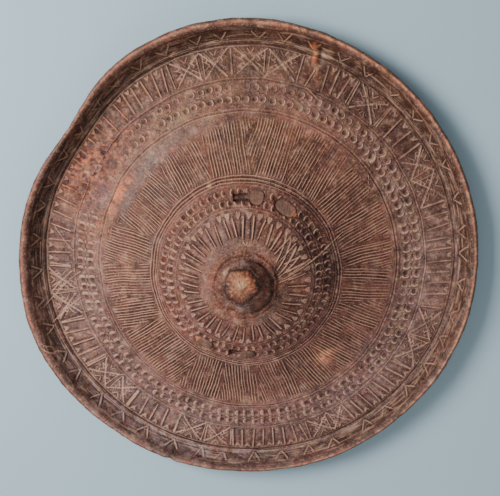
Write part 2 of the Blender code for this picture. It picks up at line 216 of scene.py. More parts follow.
# Marks of the dome and the wall: how many there are and where they lie. The fork by the collar is given by
# its angle, half of its opening, and the radii of its open end and its point
DOME_STROKES = 38
DOME_NOTCH_RADIUS = 0.0708
DOME_FORK = (87.5, 3.5, 0.0455, 0.0410)
COLLAR_SCRATCHES = 60
DOME_EDGE_TICKS = 96
TICK_RADII = (0.0998, 0.1030)
WALL_MARKS = 45
WALL_MARK_TIP = 0.2366
WALL_MARK_END = 0.2430
WALL_SCRATCHES = 80

# Carved strokes of the hatched band: first and last angle of each run, and how many strokes it has
STROKE_RUNS = (
    (-11.0, 16.0, 9),
    (33.5, 45.5, 4),
    (57.5, 66.5, 4),
    (115.0, 131.5, 6),
    (136.0, 168.0, 9),
    (172.0, 183.5, 4),
    (201.5, 215.0, 5),
    (232.0, 247.5, 5),
    (265.5, 288.0, 8),
    (303.0, 325.0, 8),
)
# Crossed strokes of the hatched band: middle angle and half of the width
CROSSES = (
    (21.0, 4.2), (28.8, 3.9), (51.6, 4.6), (79.5, 4.6), (89.0, 4.8), (99.5, 4.2), (108.0, 4.4), (188.2, 3.4),
    (196.0, 4.0), (220.2, 3.6), (227.4, 3.4), (252.4, 4.0), (260.6, 3.6), (293.4, 3.4), (299.4, 2.8),
    (330.4, 4.2), (339.6, 4.6),
)
HATCH_INNER_RADIUS = 0.2012
HATCH_OUTER_RADIUS = 0.2292
# Notches at the outer ends of the strokes: radii of their open ends, their tips and the cut between them
NOTCH_OUTER_RADIUS = 0.2290
NOTCH_TIP_RADIUS = 0.2238
NOTCH_CUT_RADIUS = 0.2258
# Chevrons beside a cross: radius of their tips, then radius of each end and family on the right
CHEVRON_TIP_RADIUS = 0.2152
CHEVRON_ENDS = ((0.2208, 2), (0.2096, 1))

# Long scratches and creases: two places as angle and radius, then half width and height
SCRATCHES = (
    (4.0, 0.0365, 9.0, 0.0640, 0.0008, 0.0006),
    (12.0, 0.0370, 24.0, 0.0660, 0.0009, 0.0007),
    (16.0, 0.0375, 33.0, 0.0670, 0.0010, 0.0009),
    (24.0, 0.0385, 42.0, 0.0680, 0.0010, 0.0008),
    (34.0, 0.0400, 48.0, 0.0690, 0.0009, 0.0007),
    (7.8, 0.0418, 19.4, 0.0970, 0.0009, 0.0007),
    (19.4, 0.0970, 22.5, 0.1180, 0.0007, 0.0004),
    (10.5, 0.0480, 17.0, 0.0740, 0.0007, 0.0004),
    (195.5, 0.2407, 185.3, 0.1916, 0.0008, 0.0005),
    (200.2, 0.2372, 194.2, 0.1963, 0.0008, 0.0005),
    (160.6, 0.1496, 169.2, 0.1598, 0.0007, 0.0004),
    (188.7, 0.1411, 192.9, 0.1473, 0.0006, 0.0004),
    (179.0, 0.1985, 171.5, 0.2270, 0.0007, 0.0005),
    (30.5, 0.1560, 36.0, 0.1650, 0.0007, 0.0004),
    (71.0, 0.2000, 66.0, 0.1930, 0.0007, 0.0004),
    (94.4, 0.1757, 92.6, 0.1735, 0.0009, -0.0006),
    (205.0, 0.2520, 208.0, 0.2440, 0.0007, 0.0003),
    (206.0, 0.2440, 203.5, 0.2510, 0.0006, 0.0003),
    (249.5, 0.2560, 250.3, 0.2440, 0.0008, -0.0010),
)

# Old damage: angle, radius, half lengths along and across the ring, and height
DENTS = (
    (147.0, 0.1860, 0.0420, 0.0160, -0.0022),
    (158.0, 0.2130, 0.0240, 0.0100, -0.0012),
    (133.0, 0.2130, 0.0220, 0.0110, 0.0010),
    (111.0, 0.1570, 0.0300, 0.0100, -0.0006),
    (91.0, 0.1900, 0.0300, 0.0100, -0.0010),
    (245.0, 0.2060, 0.0140, 0.0180, -0.0012),
    (14.0, 0.0500, 0.0060, 0.0120, -0.0012),
    (38.0, 0.1620, 0.0260, 0.0060, 0.0006),
    (311.0, 0.1500, 0.0120, 0.0200, -0.0007),
    (152.0, 0.1610, 0.0260, 0.0034, 0.0013),
    (152.0, 0.1670, 0.0260, 0.0030, -0.0010),
)

# Bare patches of the carving: angle, spread in degrees, radius and half width
BARE_PATCHES = (
    (88.0, 13.0, 0.194, 0.011),
    (50.0, 12.0, 0.148, 0.012),
)
# Where the outer carving is fainter: angle, spread in degrees and share taken off
FAINT_SIDES = (
    (2.0, 42.0, 0.30),
    (86.0, 30.0, 0.32),
)
FAINT_RADIUS = 0.195
# The scar and the broken carving on it: angle, spread in degrees, radius and half width
SCAR = (150.0, 19.0, 0.2050, 0.0260)
BROKEN_CARVING = (152.0, 15.0, 0.192, 0.026)
SCAR_RIDGE_HEIGHT = 0.0011
SCAR_HOLLOW_COLOUR = (0.088, 0.042, 0.050)
SCAR_RIDGE_COLOUR = (0.460, 0.150, 0.066)
# The nick in the lip: angle, spread in degrees, radius and half width, and its depth
NICK = (249.7, 0.55, 0.2535, 0.0040)
NICK_DEPTH = 0.0016
# The torn flake: its angle and how far that turns per metre outwards from its middle, then its heights
FLAKE_ANGLE = 71.0
FLAKE_TURN = 60.0
FLAKE_MIDDLE = 0.2310
FLAKE_HEIGHT = 0.0012
FLAKE_HOLLOW_DEPTH = 0.0016
FLAKE_LUMP_HEIGHT = 0.0016

# Patches of another colour: angle, radius, half lengths along and across the ring, colour and strength
PATCHES = (
    (152.0, 0.2080, 0.0240, 0.0180, (0.340, 0.098, 0.045), 1.00),
    (160.0, 0.2130, 0.0170, 0.0140, (0.470, 0.165, 0.070), 0.95),
    (147.0, 0.2250, 0.0200, 0.0050, (0.120, 0.045, 0.034), 0.80),
    (152.0, 0.1615, 0.0270, 0.0042, (0.600, 0.215, 0.090), 1.40),
    (146.0, 0.1960, 0.0300, 0.0120, (0.230, 0.068, 0.040), 0.80),
    (165.0, 0.1700, 0.0120, 0.0060, (0.430, 0.165, 0.085), 0.80),
    (148.0, 0.1960, 0.0110, 0.0060, (0.100, 0.050, 0.052), 0.85),
    (157.0, 0.1900, 0.0120, 0.0050, (0.120, 0.066, 0.074), 0.75),
    (135.0, 0.2060, 0.0090, 0.0070, (0.110, 0.062, 0.064), 0.80),
    (168.0, 0.2060, 0.0070, 0.0200, (0.380, 0.180, 0.100), 0.60),
    (156.0, 0.1780, 0.0110, 0.0090, (0.150, 0.088, 0.098), 0.80),
    (144.0, 0.2130, 0.0110, 0.0090, (0.110, 0.066, 0.072), 0.70),
    (139.0, 0.1930, 0.0080, 0.0080, (0.340, 0.120, 0.060), 0.60),
    (150.0, 0.2250, 0.0160, 0.0050, (0.300, 0.100, 0.045), 0.60),
    (112.0, 0.1590, 0.0420, 0.0080, (0.200, 0.140, 0.120), 0.65),
    (133.0, 0.1540, 0.0260, 0.0080, (0.240, 0.180, 0.160), 0.75),
    (152.0, 0.1500, 0.0200, 0.0050, (0.130, 0.098, 0.096), 0.80),
    (118.0, 0.1750, 0.0330, 0.0120, (0.290, 0.190, 0.110), 0.45),
    (95.0, 0.1960, 0.0300, 0.0160, (0.200, 0.110, 0.066), 0.55),
    (72.0, 0.2100, 0.0220, 0.0150, (0.190, 0.105, 0.064), 0.45),
    (88.0, 0.1320, 0.0480, 0.0240, (0.165, 0.080, 0.044), 0.55),
    (50.0, 0.1440, 0.0300, 0.0160, (0.150, 0.062, 0.044), 0.60),
    (311.0, 0.1320, 0.0130, 0.0090, (0.620, 0.250, 0.120), 1.00),
    (294.6, 0.1549, 0.0050, 0.0030, (0.450, 0.300, 0.190), 0.80),
    (340.1, 0.0905, 0.0034, 0.0030, (0.560, 0.400, 0.280), 0.80),
    (267.0, 0.0900, 0.0100, 0.0030, (0.500, 0.360, 0.250), 0.60),
    (112.5, 0.1020, 0.0026, 0.0020, (0.560, 0.400, 0.250), 0.80),
    (245.0, 0.1120, 0.0060, 0.0060, (0.320, 0.200, 0.140), 0.50),
    (184.0, 0.1250, 0.0200, 0.0080, (0.240, 0.110, 0.062), 0.50),
    (234.0, 0.1400, 0.0300, 0.0120, (0.200, 0.086, 0.056), 0.45),
    (245.2, 0.1959, 0.0030, 0.0110, (0.240, 0.070, 0.050), 0.70),
    (270.0, 0.1570, 0.0160, 0.0030, (0.480, 0.290, 0.160), 0.50),
    (25.0, 0.1620, 0.0180, 0.0040, (0.300, 0.190, 0.100), 0.45),
    (320.0, 0.2050, 0.1000, 0.0280, (0.310, 0.190, 0.155), 0.55),
    (0.0, 0.2050, 0.0600, 0.0260, (0.340, 0.205, 0.165), 0.75),
    (190.0, 0.1950, 0.0500, 0.0300, (0.225, 0.145, 0.125), 0.40),
    (240.0, 0.2050, 0.0900, 0.0260, (0.260, 0.170, 0.145), 0.45),
    (58.0, 0.2150, 0.0800, 0.0200, (0.105, 0.047, 0.034), 0.60),
    (20.0, 0.1850, 0.0900, 0.0120, (0.340, 0.215, 0.172), 0.65),
    (225.0, 0.1160, 0.0700, 0.0160, (0.105, 0.046, 0.032), 0.45),
    (180.0, 0.1150, 0.0500, 0.0120, (0.105, 0.046, 0.032), 0.30),
    (275.0, 0.1180, 0.0450, 0.0140, (0.095, 0.040, 0.028), 0.45),
    (0.0, 0.2372, 0.3500, 0.0030, (0.070, 0.032, 0.022), 0.65),
    (85.0, 0.2372, 0.1500, 0.0030, (0.070, 0.032, 0.022), 0.50),
    (15.0, 0.0860, 0.0500, 0.0170, (0.072, 0.022, 0.015), 0.95),
    (330.0, 0.0860, 0.0260, 0.0150, (0.090, 0.035, 0.026), 0.50),
    (185.0, 0.1350, 0.0300, 0.0200, (0.250, 0.115, 0.075), 0.30),
    (25.0, 0.1150, 0.0400, 0.0100, (0.095, 0.036, 0.026), 0.55),
    (262.0, 0.1300, 0.0350, 0.0160, (0.110, 0.045, 0.032), 0.50),
    (285.0, 0.0800, 0.0300, 0.0160, (0.150, 0.052, 0.034), 0.45),
    (205.0, 0.0780, 0.0200, 0.0160, (0.230, 0.075, 0.045), 0.55),
    (352.0, 0.0640, 0.0110, 0.0070, (0.300, 0.095, 0.045), 0.60),
    (110.0, 0.0700, 0.0300, 0.0140, (0.240, 0.150, 0.120), 0.40),
    # The next three patches are painted shadow: the knob's shadow on the dome to its right
    (22.0, 0.0385, 0.0080, 0.0045, (0.045, 0.020, 0.014), 0.85),
    (338.0, 0.0400, 0.0090, 0.0055, (0.045, 0.020, 0.014), 0.85),
    (305.0, 0.0400, 0.0140, 0.0060, (0.090, 0.045, 0.034), 0.60),
    (205.0, 0.0560, 0.0300, 0.0160, (0.125, 0.056, 0.040), 0.60),
    (132.0, 0.2170, 0.1100, 0.0200, (0.078, 0.030, 0.020), 0.85),
    (58.0, 0.2140, 0.0900, 0.0200, (0.075, 0.028, 0.020), 0.70),
    (92.0, 0.2160, 0.0400, 0.0180, (0.105, 0.046, 0.027), 0.60),
    (90.0, 0.1500, 0.0420, 0.0120, (0.140, 0.062, 0.034), 0.55),
    (20.0, 0.0870, 0.0650, 0.0180, (0.060, 0.017, 0.011), 0.70),
    (250.0, 0.0600, 0.0500, 0.0200, (0.110, 0.044, 0.034), 0.50),
    (315.0, 0.2395, 0.1200, 0.0060, (0.080, 0.034, 0.024), 0.70),
    (55.0, 0.2400, 0.1400, 0.0070, (0.056, 0.022, 0.015), 0.75),
    (0.0, 0.2400, 0.0900, 0.0060, (0.090, 0.036, 0.026), 0.50),
    (125.0, 0.2320, 0.1800, 0.0045, (0.050, 0.024, 0.018), 0.75),
    (190.0, 0.0860, 0.0500, 0.0120, (0.150, 0.056, 0.040), 0.45),
    (165.0, 0.2530, 0.1500, 0.0035, (0.250, 0.092, 0.060), 0.75),
    (184.0, 0.2150, 0.0600, 0.0200, (0.105, 0.050, 0.040), 0.75),
    (240.0, 0.2395, 0.1500, 0.0060, (0.300, 0.225, 0.205), 0.80),
    (65.0, 0.2395, 0.1000, 0.0050, (0.070, 0.030, 0.020), 0.55),
    # Painted shade: the wall inside the lip is painted almost black on the left, where the lip shades it
    (155.0, 0.2420, 0.1300, 0.0060, (0.024, 0.017, 0.019), 0.95),
    # Painted highlight: a bright narrow line along the top of the lip, strongest on the right
    (10.0, 0.2524, 0.3200, 0.0021, (0.850, 0.400, 0.235), 1.00),
    (0.0, 0.2480, 0.3000, 0.0022, (0.060, 0.025, 0.017), 0.85),
    (235.0, 0.2535, 0.1000, 0.0040, (0.300, 0.200, 0.175), 0.45),
    (72.5, 0.2405, 0.0030, 0.0030, (0.560, 0.190, 0.075), 0.95),
    (71.2, 0.2310, 0.0026, 0.0090, (0.560, 0.190, 0.075), 0.95),
    (69.8, 0.2190, 0.0020, 0.0070, (0.430, 0.230, 0.120), 0.80),
    (68.8, 0.2345, 0.0060, 0.0050, (0.260, 0.200, 0.160), 0.75),
    (96.0, 0.2010, 0.0040, 0.0020, (0.560, 0.260, 0.130), 0.70),
)

# Colour of the hide from the knob outwards: radius and colour
ZONES = (
    (0.0000, (0.230, 0.090, 0.050)),
    (0.0300, (0.130, 0.052, 0.034)),
    (0.0345, (0.190, 0.072, 0.042)),
    (0.0420, (0.200, 0.098, 0.066)),
    (0.0600, (0.174, 0.071, 0.050)),
    (0.0950, (0.160, 0.062, 0.043)),
    (0.1040, (0.128, 0.045, 0.031)),
    (0.1250, (0.130, 0.045, 0.028)),
    (0.1600, (0.182, 0.076, 0.052)),
    (0.1750, (0.215, 0.109, 0.081)),
    (0.2050, (0.195, 0.100, 0.076)),
    (0.2300, (0.155, 0.075, 0.054)),
    (0.2400, (0.090, 0.042, 0.029)),
    (0.2470, (0.096, 0.040, 0.027)),
    (0.2494, (0.105, 0.044, 0.030)),
    # The lip is worn orange-tan hide, painted lighter along its top as a painted highlight
    (0.2515, (0.360, 0.150, 0.086)),
    (0.2535, (0.330, 0.132, 0.076)),
    (0.2558, (0.120, 0.050, 0.035)),
)
# Slow change round the front: factors of the colour at the top and at the bottom
TOP_TINT = (1.03, 0.87, 0.78)
BOTTOM_TINT = (1.06, 1.02, 1.15)
BACK_COLOUR = (0.150, 0.085, 0.052)
SIDE_COLOUR = (0.130, 0.060, 0.040)
# The knob's top: share of the way from the worn cap's middle to its edge, and colour
KNOB_TONES = (
    (0.00, (0.600, 0.370, 0.240)),
    (0.25, (0.540, 0.260, 0.140)),
    (0.60, (0.410, 0.145, 0.064)),
    (0.90, (0.270, 0.076, 0.034)),
    (1.04, (0.085, 0.026, 0.016)),
    (1.20, (0.080, 0.026, 0.018)),
    (1.40, (0.165, 0.058, 0.038)),
    (1.80, (0.180, 0.085, 0.058)),
)
CAP_MIDDLE = (-0.0008, 0.0038)
CAP_RADIUS = 0.0172
CAP_SLOPE = 0.42
CAP_STEP = 0.0009
CREVICE_DEPTH = 0.00025
KNOB_WRINKLE_LIMIT = 0.0004
KNOB_PLEATS = 14.0
KNOB_CREASE_RADIUS = 0.0302
# Patches round the knob's side: angle, spread, colour and strength
KNOB_PATCHES = (
    (335.0, 50.0, (0.260, 0.082, 0.046), 0.75),
    (45.0, 26.0, (0.150, 0.040, 0.020), 0.80),
    (85.0, 18.0, (0.190, 0.125, 0.125), 0.65),
    (135.0, 30.0, (0.450, 0.260, 0.190), 0.85),
    (190.0, 36.0, (0.085, 0.026, 0.017), 0.85),
    (270.0, 30.0, (0.310, 0.190, 0.160), 0.75),
)

# Thongs: node, the shield angle and ring radius of its middle, the tab's middle, half length and half width,
# how far the strap runs into an open slit and to which side, and the side of the torn end
THONGS = (
    ("thong_upper_left", 81.5, 0.0860, -0.0005, 0.0085, 0.0068, 0.0140, 1.0, 0.0),
    ("thong_upper_right", 56.5, 0.0860, 0.0035, 0.0125, 0.0062, 0.0, 1.0, -1.0),
    ("thong_lower_left", 237.75, 0.0890, 0.0030, 0.0110, 0.0058, 0.0, 1.0, -1.0),
    ("thong_lower_right", 271.25, 0.0890, 0.0010, 0.0095, 0.0046, 0.0080, -1.0, 0.0),
)
THONG_SPAN = 0.0200
THONG_STRAP_THICKNESS = 0.0020
THONG_FRONT_DEPTH = 0.0007
THONG_BACK_DEPTH = 0.0156
THONG_HALF_WIDTH = 0.0026
# The recess under a thong's tab, and the open slit beside it
TAB_MARGIN = 0.0012
TAB_DEPTH = 0.0019
SLIT_DEPTH = 0.0060
SLIT_HALF_WIDTHS = (0.0032, 0.0046)
# Points along and around each strap
THONG_GRID = (144, 20)
GRIP_GRID = (180, 56)

# Where the camera stands: from its target towards the viewer, and its lens
CAMERA_TARGET = Vector((0.0068, 0.0041, 0.0300))
CAMERA_TILT = (5.0, 8.0)
CAMERA_DISTANCE = 1.10
CAMERA_LENS = 71.2
SENSOR_WIDTH = 36.0

# Area lights: name, place, side and colour
LIGHTS = (
    ("key", (-0.86, 0.32, 1.12), 0.70, (1.0, 0.965, 0.93)),
    ("fill", (0.5, -1.2, 1.2), 1.4, (1.0, 0.97, 0.94)),
)
SKY_COLOUR = (0.93, 0.96, 1.0, 1.0)
FLOOR_DEPTH = 0.0003
FLOOR_POINTS = 9


def smoothstep(low, high, value):
    """A share from 0 to 1 that eases in and out between two values."""
    share = np.clip((value - low) / (high - low), 0.0, 1.0)
    return share * share * (3.0 - 2.0 * share)


def bump(distance, width):
    """1 in the middle, falling off as exp(-(distance / width)^2)."""
    return np.exp(-((distance / width) ** 2))


def turned(angle):
    """An angle in degrees brought between -180 and 180."""
    return (angle + 180.0) % 360.0 - 180.0


def cone_height(radius):
    """Height of the cone: it rises from the foot to the dome as the share of the way inwards to a power."""
    share = np.clip((FOOT_RADIUS - radius) / (FOOT_RADIUS - DOME_RADIUS), 0.0, None)
    return FOOT_HEIGHT + (DOME_EDGE_HEIGHT - FOOT_HEIGHT) * share ** CONE_HOLLOW


def dome_height(radius):
    """Height of the dome: it falls from the collar as the share of the way outwards to a power."""
    start = COLLAR_RADIUS + COLLAR_ROLL
    share = np.clip((radius - start) / (DOME_RADIUS - start), 0.0, 1.0)
    return DOME_TOP_HEIGHT - (DOME_TOP_HEIGHT - DOME_EDGE_HEIGHT) * share ** DOME_BULGE


def front_height(radius):
    """Height of the front inside the rim and outside the collar, before carving."""
    return np.where(radius < DOME_RADIUS, dome_height(radius), cone_height(radius))


def front_slope(radius, probe):
    """Slope of the front, from its heights a probe's length to either side."""
    return (front_height(radius + probe) - front_height(radius - probe)) / (2.0 * probe)


def back_height(radius):
    """Height of the back: the front's height less the thickness times sqrt(1 + slope^2)."""
    slope = front_slope(radius, 0.0010)
    return front_height(radius) - HIDE_THICKNESS * np.sqrt(1.0 + slope * slope)


def rim_warp(angle):
    """How far the rim lies outside its circle at an angle: a sum of bumps around it."""
    return sum(depth * bump(turned(angle - centre), spread) for centre, spread, depth in RIM_WARPS)


def ring_centre(radius):
    """Middle of a ring: it strays towards the knob as the share of the way in from the rim to a power."""
    reach = np.clip(RIM_RADIUS - np.maximum(radius, COLLAR_RADIUS), 0.0, None)
    share = (reach / (RIM_RADIUS - COLLAR_RADIUS)) ** OFFSET_FADE
    return KNOB_OFFSET[0] * share, KNOB_OFFSET[1] * share


def frame_shift():
    """How far the solids were moved sideways: their highest point stands over the knob's middle."""
    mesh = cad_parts["hide_body"].data
    corners = np.zeros(len(mesh.vertices) * 3)
    mesh.vertices.foreach_get("co", corners)
    corners = corners.reshape(-1, 3)
    return corners[corners[:, 2].argmax(), :2] - KNOB_OFFSET


SHIFT = frame_shift()


def shield_points(angle, radius, height, stand=0.0):
    """Rows of x, y, z at an angle, a ring radius and a height, stood off sideways from the ring."""
    share = np.clip(radius - WARP_START_RADIUS, 0.0, None) / (RIM_RADIUS - WARP_START_RADIUS)
    reach = radius + rim_warp(angle) * share ** WARP_FADE + stand
    middle = ring_centre(radius)
    turn = np.radians(angle)
    x = SHIFT[0] + middle[0] + reach * np.cos(turn)
    y = SHIFT[1] + middle[1] + reach * np.sin(turn)
    return np.stack([x, y, np.broadcast_to(height, x.shape)], axis=-1)


def shield_radius(x, y):
    """Ring radius at a place inside the warped rim, found by going from each ring's middle to the next."""
    radius = np.hypot(x - SHIFT[0], y - SHIFT[1])
    for _ in range(12):
        middle = ring_centre(radius)
        radius = np.hypot(x - SHIFT[0] - middle[0], y - SHIFT[1] - middle[1])
    return radius


def ripple(points, scale, seed, waves=14):
    """Smooth noise from about -1 to 1: a sum of sine waves of about one length, in seeded directions."""
    draw = np.random.default_rng(seed)
    total = np.zeros(len(points))
    for _ in range(waves):
        direction = draw.normal(size=3)
        direction *= draw.uniform(0.6, 1.5) * math.tau / scale / np.linalg.norm(direction)
        total += np.sin(points @ direction + draw.uniform(0.0, math.tau))
    return total * math.sqrt(2.0 / waves) * 0.7


def ripples(points, *parts):
    """Several ripples added up, each given by its height, its scale and its seed."""
    return sum(height * ripple(points, scale, seed) for height, scale, seed in parts)


class Skin:
    """The hide's rows of points as flat arrays: angle, ring radius, height, outward direction and fields."""

    def __init__(self, rows):
        """Takes rows of radius, height, number of points and part of the skin."""
        radius = np.array([row[0] for row in rows])
        height = np.array([row[1] for row in rows])
        step_out = np.gradient(radius)
        step_up = np.gradient(height)
        length = np.hypot(step_out, step_up)
        self.counts = np.array([row[2] for row in rows])
        self.angle = np.concatenate([np.arange(count) * 360.0 / count for count in self.counts])
        self.radius = np.repeat(radius, self.counts)
        self.base = np.repeat(height, self.counts)
        self.out = np.repeat(-step_up / length, self.counts)
        self.up = np.repeat(step_out / length, self.counts)
        self.side = np.repeat(np.array([row[3] for row in rows]), self.counts)
        self.rest = shield_points(self.angle, self.radius, self.base)
        self.front = self.side == FRONT
        self.outside = self.side < BACK
        self.outer_wall = (self.side == RIM) & (self.out > 0.3)
        size = len(self.angle)
        self.relief = np.zeros(size)
        self.ridge = np.zeros(size)
        self.groove = np.zeros(size)
        self.wear = np.zeros(size)
        self.grime = np.zeros(size)
        self.line_distance = np.full((size, 3), FAR)
        self.line_strength = np.zeros((size, 3))
        self.stamp = np.zeros((size, 3))
        self.flute_place = np.zeros(size)
        self.fluting = np.zeros(size)
        self.ring = self.radius + ripples(self.rest, (0.00045, 0.060, 30), (0.00022, 0.016, 29)) * self.front
        self.ring[(self.side == BACK) | self.outer_wall] = NO_RING
        self.cap_share = np.full(size, FAR)

    def along(self, angle, radius):
        """How far each point lies from an angle, along a ring of some radius."""
        return np.radians(turned(self.angle - angle)) * radius

    def patch(self, angle, spread, radius, reach):
        """1 at an angle and a ring radius, falling off over a spread in degrees and a reach in metres."""
        return bump(turned(self.angle - angle), spread) * bump(self.radius - radius, reach)

    def spot(self, angle, radius, along, across):
        """1 at an angle and a ring radius, falling off over two lengths in metres, on all but the back."""
        return bump(self.along(angle, radius), along) * bump(self.radius - radius, across) * self.outside

    def carve(self, near, ridge, groove):
        """Lifts ridges and deepens grooves to given amounts where they are less."""
        self.ridge[near] = np.maximum(self.ridge[near], ridge)
        self.groove[near] = np.maximum(self.groove[near], groove)

    def add_grime_and_shade(self, amount):
        """Brings the grime and painted shade up to an amount where they are less."""
        self.grime = np.maximum(self.grime, amount)

    def fade(self, keep):
        """Lowers all carving to a share of itself."""
        self.ridge *= keep
        self.groove *= keep
        self.wear *= keep
        self.fluting *= keep
        self.line_strength *= keep[:, None]
        self.stamp[:, 2] *= keep

    def points(self):
        """The carved points: each base point moved along its outward direction by its relief."""
        lift = self.relief + self.ridge - self.groove
        points = shield_points(self.angle, self.radius, 0.0, lift * self.out)
        points[:, 2] = self.base + lift * self.up
        return points

    def faces(self):
        """Faces between neighbouring rows: quads, or three triangles where one row has twice the points."""
        quads = []
        triangles = []
        starts = np.concatenate([[0], np.cumsum(self.counts)])
        for row, (near, far) in enumerate(zip(self.counts[:-1], self.counts[1:])):
            a, b = starts[row], starts[row + 1]
            few = min(near, far)
            i = np.arange(few)
            j = (i + 1) % few
            if near == far:
                quads.append(np.stack([a + i, b + i, b + j, a + j], axis=1))
                continue
            first, middle, last = 2 * i, 2 * i + 1, (2 * i + 2) % (2 * few)
            if far > near:
                parts = (
                    (a + i, b + first, b + middle),
                    (a + i, b + middle, a + j),
                    (a + j, b + middle, b + last),
                )
            else:
                parts = (
                    (a + first, b + i, a + middle),
                    (a + middle, b + i, b + j),
                    (a + middle, b + j, a + last),
                )
            triangles += [np.stack(part, axis=1) for part in parts]
        return quads, triangles


def row_of(profile, count, side):
    """Rows with one number of points from radii and heights."""
    return [(radius, height, count, side) for radius, height in profile]


def banded(bands):
    """Radii of the rings of several bands, evenly spaced inside each."""
    return np.concatenate([np.linspace(*band, endpoint=False) for band in bands])


def knob_profile():
    """The knob, a superellipse of radius R sin(t)^(2/n) and height by cos(t)^(2/n), then the collar."""
    drop = KNOB_HEIGHT - DOME_TOP_HEIGHT - COLLAR_ROLL / 2.0
    turn = np.linspace(0.0, 0.5 * math.pi, 17)[1:]
    power = 2.0 / KNOB_SQUARENESS
    radius = KNOB_RADIUS * np.sin(turn) ** power
    height = KNOB_HEIGHT - drop * (1.0 - np.clip(np.cos(turn), 0.0, None) ** power)
    roll = np.radians(np.linspace(130.0, 0.0, 5))
    roll_radius = COLLAR_RADIUS + COLLAR_ROLL * np.cos(roll)
    roll_height = DOME_TOP_HEIGHT + COLLAR_ROLL * np.sin(roll)
    return list(zip(np.concatenate([radius, roll_radius]), np.concatenate([height, roll_height])))


def wall_profile():
    """The inner wall, slightly hollow, from the foot of the cone up to the lip."""
    share = np.linspace(0.0, 1.0, WALL_ROWS + 1)[:-1]
    start = FOOT_RADIUS + FOOT_STEP
    rise = LIP_HEIGHT - LIP_WIDTH / 2.0 - FOOT_HEIGHT - FOOT_STEP / 2.0
    wall_radius = start + (RIM_RADIUS - LIP_WIDTH - start) * share ** 0.8
    wall_height = FOOT_HEIGHT + FOOT_STEP / 2.0 + rise * share ** 1.2
    return [(FOOT_RADIUS, FOOT_HEIGHT), *zip(wall_radius, wall_height)]


def lip_profile():
    """The half circle of the lip, and the rounded outer side."""
    lip = LIP_WIDTH / 2.0
    centre = RIM_RADIUS - lip
    turn = np.radians(np.linspace(180.0, 0.0, 8))
    lip_radius = centre + lip * np.cos(turn)
    lip_height = LIP_HEIGHT - lip + lip * np.sin(turn)
    side = np.linspace(0.0, 1.0, 5)[1:]
    corner = REST_OUTER_RADIUS + REST_CORNER_WIDTH
    bulge = 0.0012 * np.sin(math.pi * side)
    side_radius = RIM_RADIUS + (corner - RIM_RADIUS) * side + bulge
    side_height = LIP_HEIGHT - lip + (REST_CORNER_HEIGHT - LIP_HEIGHT + lip) * side
    return list(zip(np.concatenate([lip_radius, side_radius]), np.concatenate([lip_height, side_height])))


def back_profile():
    """The flat resting ring, the plain back and the mouth of the hollow behind the knob."""
    inner = REST_OUTER_RADIUS - REST_WIDTH
    rest = [(REST_OUTER_RADIUS, 0.0), (inner, 0.0)]
    cone = np.linspace(inner - REST_SLOPE_WIDTH, DOME_RADIUS + BACK_BEND_WIDTH / 2.0, 8)
    dome = np.linspace(DOME_RADIUS - BACK_BEND_WIDTH, COLLAR_RADIUS + COLLAR_FOOT_WIDTH, 6)
    radius = np.concatenate([cone, dome])
    return rest + list(zip(radius, back_height(radius)))


def hollow_profile():
    """The small hollow behind the knob, from its mouth to its crown."""
    return [
        (0.0252, 0.0770), (0.0205, 0.0815), (0.0182, 0.0860), (0.0172, 0.0898), (0.0150, 0.0926),
        (0.0105, 0.0943), (0.0050, 0.0954),
    ]


def hide_rows():
    """All rows of the hide, from the knob's top over the front and the lip to the hollow behind."""
    dome = banded(DOME_BANDS)
    cone = banded(CONE_BANDS)
    rows = row_of(knob_profile(), KNOB_STEPS, KNOB)
    rows += row_of(zip(dome, front_height(dome)), DOME_STEPS, FRONT)
    rows += row_of(zip(cone, front_height(cone)), CONE_STEPS, FRONT)
    rows += row_of(wall_profile(), CONE_STEPS, RIM)
    rows += row_of(lip_profile(), LIP_STEPS, RIM)
    rows += row_of(back_profile(), BACK_STEPS, BACK)
    rows += row_of(hollow_profile(), HOLLOW_STEPS, BACK)
    return rows


def lay_stroke(skin, stroke, width, height, groove=0.0, wear=1.0, family=0, places=None):
    """Carves one stroke: a ridge exp(-(d / width)^2) with a groove on each side, d off its line.

    The signed distance in widths is kept as well, in one of three families whose strokes don't cross.
    """
    first_angle, first_radius, last_angle, last_radius = stroke
    middle = 0.5 * (first_radius + last_radius)
    run = math.radians(turned(last_angle - first_angle)) * middle
    rise = last_radius - first_radius
    length = math.hypot(run, rise)
    along = skin.along(first_angle, middle)
    across = skin.radius - first_radius
    reach = STROKE_REACH * width
    near = skin.front if places is None else places
    near = near & (np.abs(along - run / 2.0) < abs(run) / 2.0 + reach)
    near = np.flatnonzero(near & (np.abs(across - rise / 2.0) < abs(rise) / 2.0 + reach))
    if not len(near):
        return
    u = along[near]
    v = across[near]
    share = (u * run + v * rise) / length ** 2
    offset = (u * rise - v * run) / length / width
    fade = width / length
    inside = smoothstep(-fade, fade, share) * smoothstep(1.0 + fade, 1.0 - fade, share)
    crest = bump(offset, 1.0) * inside
    flank = bump(np.abs(offset) - GROOVE_PLACE, 0.9) * inside
    window = smoothstep(STROKE_REACH, STROKE_REACH - 1.0, np.abs(offset)) * inside * wear
    if height < 0.0:
        window = -window
    skin.carve(near, max(height, 0.0) * crest, np.maximum(-height * crest, groove * flank))
    closer = (np.abs(offset) < np.abs(skin.line_distance[near, family])) & (np.abs(window) > 0.02)
    skin.line_distance[near[closer], family] = offset[closer]
    skin.line_strength[near[closer], family] = window[closer]


